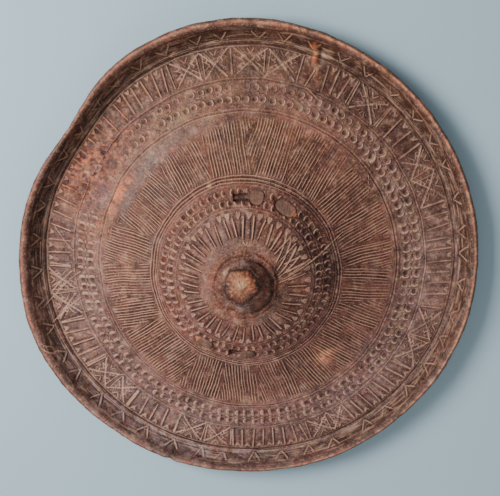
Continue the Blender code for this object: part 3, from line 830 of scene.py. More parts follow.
def lay_crescents(skin, count, radius, size, convex, seed, sizes):
    """A ring of punched crescents: a half circle as a raised edge, and a pocket that deepens towards it.

    Those of the cone are smaller around one angle. The place in each cell, in sizes from its middle, and the
    crescent's strength are kept as well.
    """
    draw = np.random.default_rng(seed)
    pitch = 360.0 / count
    centre = (np.arange(count) + 0.5 + draw.uniform(-0.10, 0.10, count)) * pitch
    lift = draw.uniform(-0.0006, 0.0006, count)
    small_angle, small_spread, taken_off = SMALL_CRESCENTS
    smaller = taken_off * bump(turned(centre - small_angle), small_spread) * (radius > DOME_RADIUS)
    scale = size * draw.uniform(0.85, 1.08, count) * (1.0 - smaller)
    strength = draw.uniform(0.65, 1.0, count)
    near = np.flatnonzero(skin.front & (np.abs(skin.radius - radius) < 1.75 * size))
    cell = np.floor(skin.angle[near] / pitch).astype(int) % count
    own = turned(skin.angle[near] - (cell + 0.5) * pitch) / pitch
    along = convex * np.radians(turned(skin.angle[near] - centre[cell])) * radius / scale[cell]
    across = (skin.radius[near] - radius - lift[cell]) / scale[cell]
    power = strength[cell] * smoothstep(0.50, 0.42, np.abs(own)) * smoothstep(1.7, 1.4, np.abs(across))
    distance = np.hypot(along, across)
    facing = smoothstep(-0.15, 0.70, along)
    moon = smoothstep(1.15, 0.85, distance) * smoothstep(-0.15, 0.35, along)
    edge = (0.4 * moon + 0.6 * bump(distance - 0.88, 0.34) * facing) * power
    pocket = (1.0 - smoothstep(0.35, 0.85, np.hypot(along + 0.50, across))) * power
    skin.carve(near, sizes.crescent_height * edge, sizes.crescent_depth * pocket)
    skin.stamp[near] = np.stack([along, across, power], axis=1)


def flute_groups(draw):
    """First angle, width, middle direction and lean of each group of flutes, all round the shield."""
    widths = draw.uniform(0.65, 1.35, FLUTE_GROUPS)
    widths *= 360.0 / widths.sum()
    firsts = np.cumsum(widths) - widths
    return firsts, widths, firsts + widths / 2.0, np.radians(draw.uniform(-9.0, 9.0, FLUTE_GROUPS))


def lay_flutes(skin, sizes):
    """Fine flutes in groups: lines at whole steps of the distance sideways from a group's middle direction.

    The place in steps is kept for the finish, with a strength that is nothing where two groups meet.
    """
    draw = np.random.default_rng(11)
    firsts, widths, middles, leans = flute_groups(draw)
    near = np.flatnonzero(skin.front & (skin.radius > 0.1030) & (skin.radius < 0.1670))
    angle = skin.angle[near]
    radius = skin.radius[near]
    spots = shield_points(angle, radius, 0.0)
    shifted = (angle + ripples(spots, (1.6, 0.060, 20))) % 360.0
    group = np.searchsorted(firsts, shifted, side="right") - 1
    to_edge = np.minimum(shifted - firsts[group], firsts[group] + widths[group] - shifted)
    aside = radius * np.sin(np.radians(turned(angle - middles[group])))
    aside = aside + (radius - FLUTE_MIDDLE) * np.tan(leans[group])
    place = aside / FLUTE_STEP + ripples(spots, (0.17, 0.034, 22), (0.05, 0.011, 24))
    line = np.floor(place).astype(int) + 7 * group
    shift, strong, early = draw.uniform(0.0, 1.0, (3, FLUTE_DRAWS))[:, line % FLUTE_DRAWS]
    place = place + 0.22 * (shift - 0.5)
    offset = (place - np.floor(place) - 0.5) * FLUTE_STEP
    start = FLUTE_START + 0.0022 * early
    shorter = sum(length * bump(turned(angle - centre), spread) for centre, spread, length in SHORT_FLUTES)
    end = FLUTE_END - 0.0035 * shift ** 2 - shorter
    strength = (0.55 + 0.45 * strong) * smoothstep(start - 0.002, start + 0.001, radius)
    strength = strength * smoothstep(end + 0.001, end - 0.002, radius)
    strength = strength * (1.0 - 0.65 * smoothstep(0.60, 1.3, ripple(spots, 0.018, 23)))
    strength = strength * smoothstep(0.34, 0.50, to_edge)
    ridge = sizes.flute_height * bump(offset, FLUTE_WIDTH) * strength
    skin.carve(near, ridge, 0.5 * sizes.flute_height * strength * (np.abs(offset) > 0.0010))
    skin.flute_place[near] = place
    skin.fluting[near] = strength


def lay_rings(skin):
    """The lines around the shield, on a radius that wavers a little; a negative height makes a groove."""
    places = skin.front | (skin.side == RIM) & (skin.radius < 0.2450)
    for radius, width, height, _ in RING_LINES:
        crest = bump(skin.ring - radius, 1.2 * width) * places
        skin.carve(slice(None), max(height, 0.0) * crest, max(-height, 0.0) * crest)


def carve_dome(skin, sizes):
    """The dome's strokes, the notches between their outer ends, and small marks near the knob."""
    draw = np.random.default_rng(5)
    for k in range(DOME_STROKES):
        angle = 360.0 * (k + 0.5) / DOME_STROKES + draw.uniform(-1.2, 1.2)
        lean = draw.uniform(-1.8, 1.8)
        first = draw.uniform(0.0450, 0.0490)
        last = draw.uniform(0.0665, 0.0695)
        width = draw.uniform(0.0007, 0.0011)
        height = sizes.stroke_height * draw.uniform(0.8, 1.3)
        lay_stroke(skin, (angle - lean, first, angle + lean, last), width, height, sizes.groove_depth)
        notch = angle + 180.0 / DOME_STROKES + draw.uniform(-0.8, 0.8)
        tip = draw.uniform(0.0650, 0.0662)
        half = draw.uniform(1.7, 2.3)
        for side, family in SIDES:
            flank = (notch + side * half, DOME_NOTCH_RADIUS, notch, tip)
            lay_stroke(skin, flank, 0.0009, 0.0009, 0.0004, 0.9, family)
        lay_stroke(skin, (notch - half, 0.0712, notch + half, 0.0712), 0.0009, 0.0006, 0.0, 0.8)
        lay_stroke(skin, (notch, 0.0706, notch, tip + 0.0012), 0.0011, 0.0008, 0.0, 0.9)
    for k in range(DOME_EDGE_TICKS):
        angle = 360.0 * (k + draw.uniform(-0.2, 0.2)) / DOME_EDGE_TICKS
        lay_stroke(skin, (angle, TICK_RADII[0], angle, TICK_RADII[1]), 0.0006, 0.0004, 0.0, 0.45)
    middle, half, outer, inner = DOME_FORK
    for side, family in SIDES:
        prong = (middle + half * side, outer, middle, inner)
        lay_stroke(skin, prong, 0.0007, 0.0005, 0.0003, 0.7, family)
    for k in range(COLLAR_SCRATCHES):
        angle = draw.uniform(0.0, 360.0)
        radius = draw.uniform(0.0375, 0.0470)
        stroke = (angle, radius, angle + draw.uniform(-6.0, 6.0), radius + draw.uniform(-0.002, 0.003))
        lay_stroke(skin, stroke, 0.0006, draw.uniform(0.0002, 0.0005), 0.0002, draw.uniform(0.2, 0.5), k % 3)


def carve_run(skin, sizes, draw, first, last, count):
    """One run of strokes of the hatched band, with notches between the outer and some of the inner ends."""
    inner, outer = HATCH_INNER_RADIUS, HATCH_OUTER_RADIUS
    pitch = (last - first) / max(count - 1, 1)
    for k in range(count):
        angle = first + k * pitch + draw.uniform(-0.3, 0.3)
        lean = draw.uniform(-0.45, 0.45)
        start = inner + draw.uniform(-0.001, 0.001)
        stroke = (angle - lean, start, angle + lean, outer - draw.uniform(-0.001, 0.001))
        height = sizes.stroke_height * draw.uniform(0.7, 1.2)
        width = draw.uniform(0.0009, 0.0012)
        lay_stroke(skin, stroke, width, height, sizes.groove_depth, draw.uniform(0.8, 1.0))
        if k == count - 1:
            continue
        middle = angle + pitch / 2.0
        for side, family in SIDES:
            notch = (middle + side * 0.62, NOTCH_OUTER_RADIUS, middle, NOTCH_TIP_RADIUS)
            lay_stroke(skin, notch, 0.0012, 0.0010, 0.0004, 1.0, family)
            cut = (middle, NOTCH_OUTER_RADIUS, middle, NOTCH_CUT_RADIUS)
            lay_stroke(skin, cut, 0.0012, 0.0009, 0.0, 0.9)
            if k % 3 == 1:
                low = (middle + side * 0.7, inner, middle, inner + 0.0055)
                lay_stroke(skin, low, 0.0008, 0.0005, 0.0002, 0.6, family)


def carve_cross(skin, sizes, draw, centre, half):
    """Two crossed strokes between two plain ones, doubled on one side, with small chevrons in the gaps."""
    inner, outer = HATCH_INNER_RADIUS, HATCH_OUTER_RADIUS
    high, deep = sizes.stroke_height, sizes.groove_depth
    skew = draw.uniform(-0.6, 0.6)
    for side, family in SIDES:
        long_stroke = (centre + side * half, outer, centre - side * (half + skew), inner)
        lay_stroke(skin, long_stroke, 0.0011, 1.1 * high, 1.3 * deep, 1.0, family)
        beside = (centre + side * (half - 1.3), outer, centre - side * (half - 1.9), inner + 0.005)
        lay_stroke(skin, beside, 0.0007, 0.6 * high, deep, 0.6, family)
        edge = centre + side * (half + 0.55)
        lay_stroke(skin, (edge, inner, edge + side * 0.3, outer), 0.0008, 0.9 * high, deep, 0.9)
        tip = centre + side * half * 0.34
        for end, slant in CHEVRON_ENDS:
            own = slant if side > 0.0 else 3 - slant
            chevron = (centre + side * half * 0.85, end, tip, CHEVRON_TIP_RADIUS)
            lay_stroke(skin, chevron, 0.0008, 0.0006, 0.0004, 0.8, own)
        for far, near, strength in ((outer, 0.2232, 0.9), (inner, 0.2074, 0.7)):
            chevron = (centre + side * 1.1, far, centre, near)
            lay_stroke(skin, chevron, 0.0008, 0.0007, 0.0004, strength, family)


def carve_hatch(skin, sizes):
    """The hatched band: runs of strokes and crossed strokes."""
    draw = np.random.default_rng(7)
    for run in STROKE_RUNS:
        carve_run(skin, sizes, draw, *run)
    for cross in CROSSES:
        carve_cross(skin, sizes, draw, *cross)


def carve_wall(skin):
    """Thin V marks on the wall inside the lip, the tips towards the knob, and loose scratches along it."""
    draw = np.random.default_rng(9)
    wall = (skin.side == RIM) & (skin.radius < 0.2475)
    for k in range(WALL_MARKS):
        angle = 360.0 * k / WALL_MARKS + draw.uniform(-1.3, 1.3)
        tip = WALL_MARK_TIP + draw.uniform(-0.0006, 0.0012)
        for side, family in SIDES:
            end = (angle + side * draw.uniform(1.3, 2.1), WALL_MARK_END + draw.uniform(0.0, 0.0015))
            lay_stroke(skin, (angle, tip, *end), 0.00085, 0.0004, 0.0, draw.uniform(0.7, 1.0), family, wall)
    for _ in range(WALL_SCRATCHES):
        angle = draw.uniform(0.0, 360.0)
        radius = draw.uniform(0.2345, 0.2420)
        stroke = (angle, radius, angle + draw.uniform(2.0, 8.0), radius + draw.uniform(-0.0012, 0.0012))
        lay_stroke(skin, stroke, 0.0006, 0.0002, 0.0, draw.uniform(0.2, 0.5), 0, wall)


def scar(skin):
    """The puckered scar: its share of each point, and its tangled ridges, 1 along the zero lines of noise."""
    ridges = bump(ripple(skin.rest, 0.0160, 86), 0.30)
    ridges = np.maximum(ridges, 0.8 * bump(ripple(skin.rest, 0.0090, 87), 0.26))
    return skin.patch(*SCAR) * skin.front, ridges


def wear_down(skin, sizes):
    """Scratches and dents, the scar, and the places where carving is worn away."""
    for *stroke, width, height in SCRATCHES:
        family = 1 if turned(stroke[2] - stroke[0]) * (stroke[3] - stroke[1]) < 0.0 else 2
        lay_stroke(skin, stroke, width, height, 0.0003, 0.9, family, skin.outside)
    for *place, height in DENTS:
        skin.relief += sizes.dent_share * height * skin.spot(*place)
    rough, ridges = scar(skin)
    torn = ripples(skin.rest, (0.6, 0.016, 71), (0.6, 0.006, 72))
    skin.relief += rough * (sizes.wrinkle_depth * torn + SCAR_RIDGE_HEIGHT * (ridges - 0.4))
    bare = np.maximum(*(skin.patch(*place) for place in BARE_PATCHES)) * skin.front
    broken = skin.patch(*BROKEN_CARVING) * skin.front
    faint = sum(share * bump(turned(skin.angle - angle), spread) for angle, spread, share in FAINT_SIDES)
    faint = faint * (skin.front & (skin.radius > FAINT_RADIUS))
    keep = 1.0 - np.clip(0.6 * bare + 0.4 * rough + 0.7 * broken + faint, 0.0, 0.9)
    keep = keep * (0.80 + 0.20 * np.clip(ripple(skin.rest, 0.030, 73), -1.0, 1.0))
    skin.fade(keep)
    skin.wear = np.maximum(skin.wear, rough * np.maximum(smoothstep(0.4, 1.0, torn) * 0.45, 0.15 * ridges))
    skin.grime *= keep
    skin.add_grime_and_shade(rough * smoothstep(-0.15, -0.8, torn))


def roughen(skin):
    """Slight unevenness all over, and the chips and the nick of the lip."""
    skin.relief += ripples(skin.rest, (0.00028, 0.045, 74), (0.00010, 0.010, 75)) * skin.outside
    back = (skin.side == BACK) & (skin.base > 0.002)
    skin.relief += ripples(skin.rest, (0.00025, 0.035, 76), (0.00012, 0.012, 77)) * back
    rim = skin.side == RIM
    chips = 1.0 + np.clip(ripples(skin.rest, (0.5, 0.030, 78), (0.5, 0.009, 79)), -1.0, 1.0)
    skin.relief -= 0.00035 * chips * rim * smoothstep(0.2440, 0.2500, skin.radius)
    nick = skin.patch(*NICK) * rim
    skin.relief -= NICK_DEPTH * nick
    skin.add_grime_and_shade(nick)


def tear_flake(skin):
    """The torn orange flake near the upper rim, the lump beside it and the crack that runs down from it."""
    radius = skin.radius
    u = skin.along(FLAKE_ANGLE + FLAKE_TURN * (radius - FLAKE_MIDDLE), radius)
    flake = bump(u, 0.0026) * smoothstep(0.2180, 0.2210, radius) * smoothstep(0.2430, 0.2410, radius)
    hollow = bump(u + 0.0050, 0.0022) * smoothstep(0.2240, 0.2270, radius)
    hollow = hollow * smoothstep(0.2420, 0.2400, radius)
    lump = bump(np.hypot(skin.along(68.6, 0.2340), radius - 0.2335), 0.0050)
    skin.fade(1.0 - np.clip(1.6 * flake + lump, 0.0, 1.0) * skin.outside)
    lift = FLAKE_HEIGHT * flake - FLAKE_HOLLOW_DEPTH * hollow + FLAKE_LUMP_HEIGHT * lump
    skin.relief += lift * skin.outside
    skin.add_grime_and_shade(hollow * skin.outside)
    lay_stroke(skin, (69.9, 0.2200, 71.4, 0.2000), 0.0008, 0.0006, 0.0008, 0.8, 1)
    lay_stroke(skin, (66.5, 0.2420, 63.0, 0.2290), 0.0009, -0.0009, 0.0, 0.9, 2, skin.outside)
    lay_stroke(skin, (66.5, 0.2390, 60.0, 0.2400), 0.0009, -0.0008, 0.0, 0.9, 0, skin.outside)


def shape_knob(skin):
    """The worn cap, off the knob's middle with an angular edge, the slope beside it and its wrinkles, and the
    crease at its foot, darker on the right with the knob's painted shadow.
    """
    turn = np.radians(skin.angle)
    x = skin.radius * np.cos(turn) - CAP_MIDDLE[0]
    y = skin.radius * np.sin(turn) - CAP_MIDDLE[1]
    around = np.arctan2(y, x)
    edge = CAP_RADIUS * (1.0 + 0.05 * np.cos(5.0 * around + 0.8) + 0.04 * np.cos(3.0 * around - 0.5))
    beyond = np.hypot(x, y) - edge
    knob = skin.side == KNOB
    top = knob & (skin.radius < KNOB_RADIUS * 0.98)
    skin.cap_share = np.where(top, np.hypot(x, y) / edge, FAR)
    fall = CAP_SLOPE * np.clip(beyond, 0.0, None) + CAP_STEP * smoothstep(-0.0008, 0.0012, beyond)
    skin.relief -= top * fall
    wrinkle = ripples(skin.rest, (0.00045, 0.0075, 81), (0.00030, 0.0035, 82))
    pleat = np.sin(KNOB_PLEATS * around + 2.0 * ripple(skin.rest, 0.02, 83))
    pleat = pleat * smoothstep(0.001, 0.006, beyond)
    wrinkled = np.minimum(wrinkle + 0.0004 * pleat, KNOB_WRINKLE_LIMIT)
    skin.relief += knob * (wrinkled - KNOB_WRINKLE_LIMIT)
    crevice = bump(ripple(skin.rest, 0.0080, 84), 0.24) + 0.8 * bump(ripple(skin.rest, 0.0055, 85), 0.22)
    crevice = crevice * top * smoothstep(-0.012, -0.004, beyond) * smoothstep(0.004, 0.001, beyond)
    skin.relief -= CREVICE_DEPTH * crevice
    skin.add_grime_and_shade(0.75 * np.clip(crevice, 0.0, 1.0))
    skin.add_grime_and_shade(0.95 * bump(beyond - 0.0014, 0.0016) * top)
    skin.add_grime_and_shade(0.4 * smoothstep(0.2, -0.6, wrinkle / 0.0005) * knob)
    # The crease round the knob's foot is darkened a little all round and much more on the right, where the
    # darkening is painted shadow of the knob
    crease = bump(skin.radius - KNOB_CREASE_RADIUS, 0.0014) * knob * (skin.base < 0.0900)
    skin.add_grime_and_shade(crease * (0.25 + 0.65 * bump(turned(skin.angle + 5.0), 75.0)))


def open_slits(skin):
    """The recess under each thong's tab and the open slits beside two of them, as pockets in the hide."""
    for _, angle, radius, middle, half_length, half_width, run, way, _ in THONGS:
        u = skin.along(angle, radius)
        v = skin.radius - radius
        reach = np.hypot((u - middle) / (half_length + TAB_MARGIN), v / (half_width + TAB_MARGIN))
        tab = (1.0 - smoothstep(0.90, 1.06, reach)) * skin.front
        skin.relief -= TAB_DEPTH * tab
        keep = 1.0 - np.clip(1.5 * tab, 0.0, 1.0)
        skin.fade(keep)
        skin.grime *= keep
        skin.add_grime_and_shade(0.45 * bump(reach - 1.0, 0.13) * skin.front)
        if run:
            start = THONG_SPAN / 2.0 - 0.0010
            along = np.abs(way * u - start - run / 2.0 - 0.0015) - run / 2.0 - 0.0010
            slit = (1.0 - smoothstep(-0.0007, 0.0007, along)) * skin.front
            slit = slit * (1.0 - smoothstep(*SLIT_HALF_WIDTHS, np.abs(v)))
            skin.relief -= SLIT_DEPTH * slit * (1.0 - tab)
            skin.fade(1.0 - slit)
            # Painted shade: the open slit is painted dark inside
            skin.add_grime_and_shade(slit)


def laid_over(paint, share, colour):
    """A colour laid over the paint by a share at each point."""
    share = np.clip(share, 0.0, 1.0)[:, None]
    return paint * (1.0 - share) + np.array(colour) * share


def by_stops(value, stops):
    """Colours read between stops of a value."""
    places = np.array([stop[0] for stop in stops])
    tones = np.array([stop[1] for stop in stops])
    return np.stack([np.interp(value, places, tones[:, channel]) for channel in range(3)], axis=1)


def hide_paint(skin):
    """Colour of each point: zones by radius, patches over them, the scar, the knob, the side and the back."""
    paint = by_stops(skin.radius, ZONES)
    for *place, colour, strength in PATCHES:
        seed = int(place[0])
        ragged = 1.0 + ripples(skin.rest, (0.45, 0.014, int(place[0] * 7.0)), (0.60, 0.005, seed))
        paint = laid_over(paint, strength * skin.spot(*place) * ragged, colour)
    rough, ridges = scar(skin)
    paint = laid_over(paint, 0.65 * rough * (1.0 - ridges), SCAR_HOLLOW_COLOUR)
    paint = laid_over(paint, 0.75 * rough * ridges, SCAR_RIDGE_COLOUR)
    upper = (0.5 + 0.5 * np.sin(np.radians(skin.angle)) * smoothstep(0.04, 0.10, skin.radius))[:, None]
    paint = paint * (np.array(TOP_TINT) * upper + np.array(BOTTOM_TINT) * (1.0 - upper))
    share = skin.cap_share + ripples(skin.rest, (0.15, 0.0034, 97), (0.08, 0.0080, 98))
    on_top = skin.cap_share < FAR
    paint = np.where(on_top[:, None], by_stops(share, KNOB_TONES), paint)
    beside_cap = on_top * smoothstep(1.12, 1.36, share)
    for angle, spread, colour, strength in KNOB_PATCHES:
        seed = int(angle)
        ragged = 1.0 + ripples(skin.rest, (0.3, 0.0060, seed), (0.3, 0.0026, seed + 1))
        near = bump(turned(skin.angle - angle), spread)
        paint = laid_over(paint, strength * beside_cap * ragged * near, colour)
    paint = np.where((skin.side == BACK)[:, None], np.array(BACK_COLOUR), paint)
    return np.where(skin.outer_wall[:, None], np.array(SIDE_COLOUR), paint)


def new_piece(name, vertices, faces, attributes):
    """A mesh object at the origin, shaded smooth, with its point attributes: numbers or colours."""
    mesh = bpy.data.meshes.new(name)
    mesh.from_pydata(vertices.tolist(), [], faces)
    mesh.validate()
    for label, values in attributes.items():
        if values.ndim == 1:
            attribute = mesh.attributes.new(label, "FLOAT", "POINT")
            attribute.data.foreach_set("value", values.astype(np.float32))
        else:
            attribute = mesh.attributes.new(label, "FLOAT_VECTOR", "POINT")
            attribute.data.foreach_set("vector", values.astype(np.float32).ravel())
    mesh.shade_smooth()
    mesh.update()
    piece = bpy.data.objects.new(name, mesh)
    bpy.context.scene.collection.objects.link(piece)
    return piece


def make_hide_skin(sizes):
    """The whole hide as one closed mesh."""
    skin = Skin(hide_rows())
    lay_flutes(skin, sizes)
    for ring in CRESCENTS:
        lay_crescents(skin, *ring, sizes)
    lay_rings(skin)
    carve_dome(skin, sizes)
    carve_hatch(skin, sizes)
    carve_wall(skin)
    wear_down(skin, sizes)
    roughen(skin)
    tear_flake(skin)
    shape_knob(skin)
    open_slits(skin)
    points = skin.points()
    points[:, 2] = np.maximum(points[:, 2], 0.0)
    points[:, :2] = np.clip(points[:, :2], CAD_BOX[0][:2], CAD_BOX[1][:2])
    tip = np.array([*(KNOB_OFFSET + SHIFT), points[:KNOB_STEPS, 2].max() - TIP_SINK])
    crown = np.array([*(KNOB_OFFSET + SHIFT), CROWN_HEIGHT])
    count = len(points)
    first = np.arange(KNOB_STEPS)
    last = count - HOLLOW_STEPS + np.arange(HOLLOW_STEPS)
    quads, triangles = skin.faces()
    fan = np.stack([np.full(KNOB_STEPS, count), first, np.roll(first, -1)], axis=1)
    end_fan = np.stack([np.roll(last, -1), last, np.full(HOLLOW_STEPS, count + 1)], axis=1)
    faces = np.concatenate(quads).tolist() + np.concatenate(triangles + [fan, end_fan]).tolist()
    turn = np.radians(skin.angle)
    fields = {
        "wear": np.clip(skin.wear, 0.0, 1.0),
        "grime": np.clip(skin.grime, 0.0, 1.0),
        "flute_place": skin.flute_place,
        "fluting": skin.fluting,
        "around": np.stack([np.cos(turn), np.sin(turn), skin.ring], axis=1),
        "line_distance": skin.line_distance,
        "line_strength": skin.line_strength,
        "stamp": skin.stamp,
        "paint": hide_paint(skin),
    }
    attributes = {name: np.concatenate([values, values[:1], values[-1:]]) for name, values in fields.items()}
    return new_piece("hide", np.concatenate([points, [tip, crown]]), faces, attributes)


def smooth_loop(points, count):
    """A closed curve through points by Catmull-Rom blending, read at even steps of its parameter."""
    points = np.array(points)
    size = len(points)
    place = np.arange(count) * size / count
    k = np.floor(place).astype(int)
    t = (place - k)[:, None]
    before, start, end, after = (points[(k + j) % size] for j in (-1, 0, 1, 2))
    curve = 2.0 * start + (end - before) * t
    curve += (2.0 * before - 5.0 * start + 4.0 * end - after) * t ** 2
    curve += (3.0 * start - before - 3.0 * end + after) * t ** 3
    return 0.5 * curve


def thong_stations(middle, half_length, half_width, run, way):
    """Stations around a thong: place along the ring, height off the hide, half width and half thickness."""
    front = -THONG_FRONT_DEPTH
    back = -THONG_BACK_DEPTH
    thick = THONG_STRAP_THICKNESS / 2.0
    leg = THONG_SPAN / 2.0 + thick
    narrow = THONG_HALF_WIDTH
    left = middle - half_length
    right = middle + half_length
    stations = [(left + 0.0012, front - 0.0006, 0.35 * half_width, thick * 0.8)]
    for share in (-0.72, -0.35, 0.0, 0.35, 0.72):
        width = half_width * math.sqrt(1.0 - abs(share) ** 2.6)
        stations.append((middle + share * half_length, front, width, thick))
    stations.append((right - 0.0012, front - 0.0006, 0.35 * half_width, thick * 0.8))
    leg_depths = (-0.0030, -0.0090, -0.0140)
    if run:
        reach = THONG_SPAN / 2.0 + run
        stations += [
            (leg + 0.001, -0.0022, 0.0016, 0.0007),
            (leg + 0.4 * run, -0.0030, 0.0015, 0.0006),
            (reach - 0.001, -0.0032, 0.0015, 0.0006),
            (reach + 0.0004, -0.0040, 0.0015, 0.0006),
            (reach - 0.001, -0.0049, 0.0015, 0.0006),
            (leg + 0.002, -0.0052, 0.0018, 0.0007),
        ]
    stations += [(leg, depth, narrow, thick) for depth in ((-0.0070, *leg_depths[1:]) if run else leg_depths)]
    stations += [
        (leg - 0.0020, back, narrow + 0.001, thick),
        (0.004, back, 0.0042, thick),
        (-0.004, back, 0.0042, thick),
        (-leg + 0.0020, back, narrow + 0.001, thick),
    ]
    stations += [(-leg, depth, narrow, thick) for depth in reversed(leg_depths)]
    if way < 0.0:
        stations = [(2.0 * middle - place if run == 0.0 else -place, *rest) for place, *rest in stations]
        stations.reverse()
    return stations


def strap_section(around, flatness, thinness):
    """A rounded flat section: sign(cos t) |cos t|^p across it and sign(sin t) |sin t|^q through it."""
    turn = np.arange(around) * math.tau / around
    flat = np.sign(np.cos(turn)) * np.abs(np.cos(turn)) ** flatness
    return flat, np.sign(np.sin(turn)) * np.abs(np.sin(turn)) ** thinness


def make_thong(name, angle, radius, middle, half_length, half_width, run, way, torn):
    """A thong as a closed strap: a rounded flat section led around its stations and bent with the hide."""
    steps, around = THONG_GRID
    own_middle = middle * way if run else middle
    own_way = way if run else 1.0
    loop = smooth_loop(thong_stations(own_middle, half_length, half_width, run, own_way), steps)
    ahead = np.roll(loop[:, :2], -1, axis=0) - np.roll(loop[:, :2], 1, axis=0)
    ahead /= np.linalg.norm(ahead, axis=1)[:, None]
    flat, thin = strap_section(around, 0.55, 0.75)
    off = loop[:, 3:4] * thin
    place = loop[:, 0:1] - ahead[:, 1:2] * off
    depth = loop[:, 1:2] + ahead[:, 0:1] * off
    side = loop[:, 2:3] * flat
    spot_radius = radius + side
    height = front_height(spot_radius)
    slope = front_slope(spot_radius, 0.0005)
    tilt = np.sqrt(1.0 + slope ** 2)
    spot_angle = angle + np.degrees(place / radius)
    points = shield_points(spot_angle, spot_radius, 0.0, -slope / tilt * depth)
    points[..., 2] = height + depth / tilt
    grid = np.arange(steps * around).reshape(steps, around)
    next_row = np.roll(grid, -1, axis=0)
    next_side = np.roll(grid, -1, axis=1)
    corner = np.roll(next_row, -1, axis=1)
    faces = np.stack([grid, next_side, corner, next_row], axis=-1).reshape(-1, 4)
    flat_points = points.reshape(-1, 3)
    grain = ripples(flat_points, (0.00016, 0.006, 91), (0.00010, 0.0028, 92))
    flat_points[:, 2] += grain * (depth.ravel() > -0.002)
    edge = np.abs(flat) ** 3 * np.ones((steps, 1))
    ends = smoothstep(0.55, 1.0, np.abs(place - own_middle) / half_length) * (depth > -0.004)
    raw = np.clip(torn * (place - own_middle) / half_length, 0.0, 1.0) ** 3 * (depth > -0.004)
    in_slit = (depth < -0.0018) & (depth > -0.0062)
    attributes = {
        "wear": np.clip(0.25 * edge + 0.2 * (in_slit & (np.abs(side) < 0.0006)), 0.0, 1.0).ravel(),
        # The strap is darkened near the ends of its tab, and where it lies down in a slit it is painted dark
        # as painted shade
        "grime": np.clip(0.55 * ends * (raw < 0.2) + 0.75 * in_slit, 0.0, 1.0).ravel(),
        "torn": np.clip(raw * 1.6, 0.0, 1.0).ravel(),
    }
    return new_piece(name, flat_points, orient(faces, flat_points).tolist(), attributes)


def orient(faces, points):
    """Turns all faces round if the closed mesh they make has a negative volume."""
    a, b, c = points[faces[:, 0]], points[faces[:, 1]], points[faces[:, 2]]
    d = points[faces[:, 3]]
    volume = (a * np.cross(b, c)).sum() + (a * np.cross(c, d)).sum()
    return faces if volume > 0.0 else faces[:, ::-1]


def grip_frame():
    """Middle, direction and half length of the grip, from the middles of the two pairs of thongs."""
    angles = np.array([thong[1] for thong in THONGS])
    radii = np.array([thong[2] for thong in THONGS])
    places = shield_points(angles, radii, 0.0)[:, :2]
    upper = places[:2].mean(axis=0)
    lower = places[2:].mean(axis=0)
    length = np.linalg.norm(upper - lower)
    return (upper + lower) / 2.0, (upper - lower) / length, length / 2.0


def make_grip_strap():
    """The grip: a rounded flat section that spreads at both ends and bows away from the hide."""
    middle, direction, reach = grip_frame()
    across = np.array((direction[1], -direction[0]))
    half_length = reach + GRIP_TIP_MARGIN
    steps, around = GRIP_GRID
    share = np.linspace(-1.0, 1.0, steps)
    place = (half_length * np.sin(0.5 * math.pi * share) * 0.35 + half_length * share * 0.65)[:, None]
    flat, thin = strap_section(around, 0.35, 0.45)
    spread = smoothstep(GRIP_STRAIGHT_LENGTH / 2.0, reach, np.abs(place))
    rounding = smoothstep(reach, half_length, np.abs(place))
    width = GRIP_WIDTH + (GRIP_END_WIDTH - GRIP_WIDTH) * spread - (GRIP_END_WIDTH - GRIP_TIP_WIDTH) * rounding
    from_end = half_length - np.abs(place)
    corner = np.sqrt(np.clip(1.0 - (1.0 - np.clip(from_end / 0.012, 0.0, 1.0)) ** 2, 0.0, 1.0))
    half_width = 0.5 * width * (0.80 + 0.20 * corner) - 0.0002
    half_thick = GRIP_THICKNESS / 2.0 * np.sqrt(np.clip(from_end / 0.0020, 0.02, 1.0))
    side = half_width * flat
    x = middle[0] + direction[0] * place + across[0] * side
    y = middle[1] + direction[1] * place + across[1] * side
    bowed = GRIP_MIDDLE_HEIGHT + GRIP_BOW * (place / (GRIP_STRAIGHT_LENGTH / 2.0)) ** 2
    landing = reach - THONG_WIDTH / 2.0 - 2.0 * SLIT_CLEARANCE
    rise = smoothstep(GRIP_LEVEL_LENGTH / 2.0, landing, np.abs(place))
    top = bowed + (back_height(shield_radius(x, y)) - GRIP_GAP - bowed) * rise
    spots = np.stack([x, y, top], axis=-1).reshape(-1, 3)
    crown = 0.0004 * (1.0 - flat ** 2)
    grain = ripples(spots, (0.00015, 0.012, 95), (0.00008, 0.004, 96)).reshape(x.shape)
    z = top - GRIP_THICKNESS / 2.0 + (half_thick - 0.0004 + crown + np.minimum(grain, 0.0001)) * thin
    points = np.stack([x, y, z], axis=-1).reshape(-1, 3)
    grid = np.arange(steps * around).reshape(steps, around)
    near, far = grid[:-1], grid[1:]
    faces = np.stack([near, np.roll(near, -1, 1), np.roll(far, -1, 1), far], axis=-1).reshape(-1, 4)
    faces = orient(faces, points)
    whole = np.ones((steps, around))
    edge = np.abs(flat) ** 10 * whole
    held = bump(place, 0.040) * (thin < 0.0)
    ends = 1.0 - smoothstep(0.0, 0.004, from_end) * whole
    attributes = {
        "wear": np.clip(0.55 * edge + 0.35 * held + 0.4 * ends, 0.0, 1.0).ravel(),
        "grime": np.clip(0.5 * bump(np.abs(place) - 0.052, 0.012) * whole, 0.0, 1.0).ravel(),
        "torn": np.zeros(steps * around),
    }
    piece = new_piece("grip_strap", points, faces.tolist(), attributes)
    close_ends(piece)
    return piece


def close_ends(piece):
    """Fills the open ends of a swept mesh and turns its faces outwards."""
    mesh = bmesh.new()
    mesh.from_mesh(piece.data)
    loose = [edge for edge in mesh.edges if edge.is_boundary]
    bmesh.ops.holes_fill(mesh, edges=loose, sides=0)
    bmesh.ops.recalc_face_normals(mesh, faces=mesh.faces)
    mesh.to_mesh(piece.data)
    mesh.free()
    piece.data.shade_smooth()


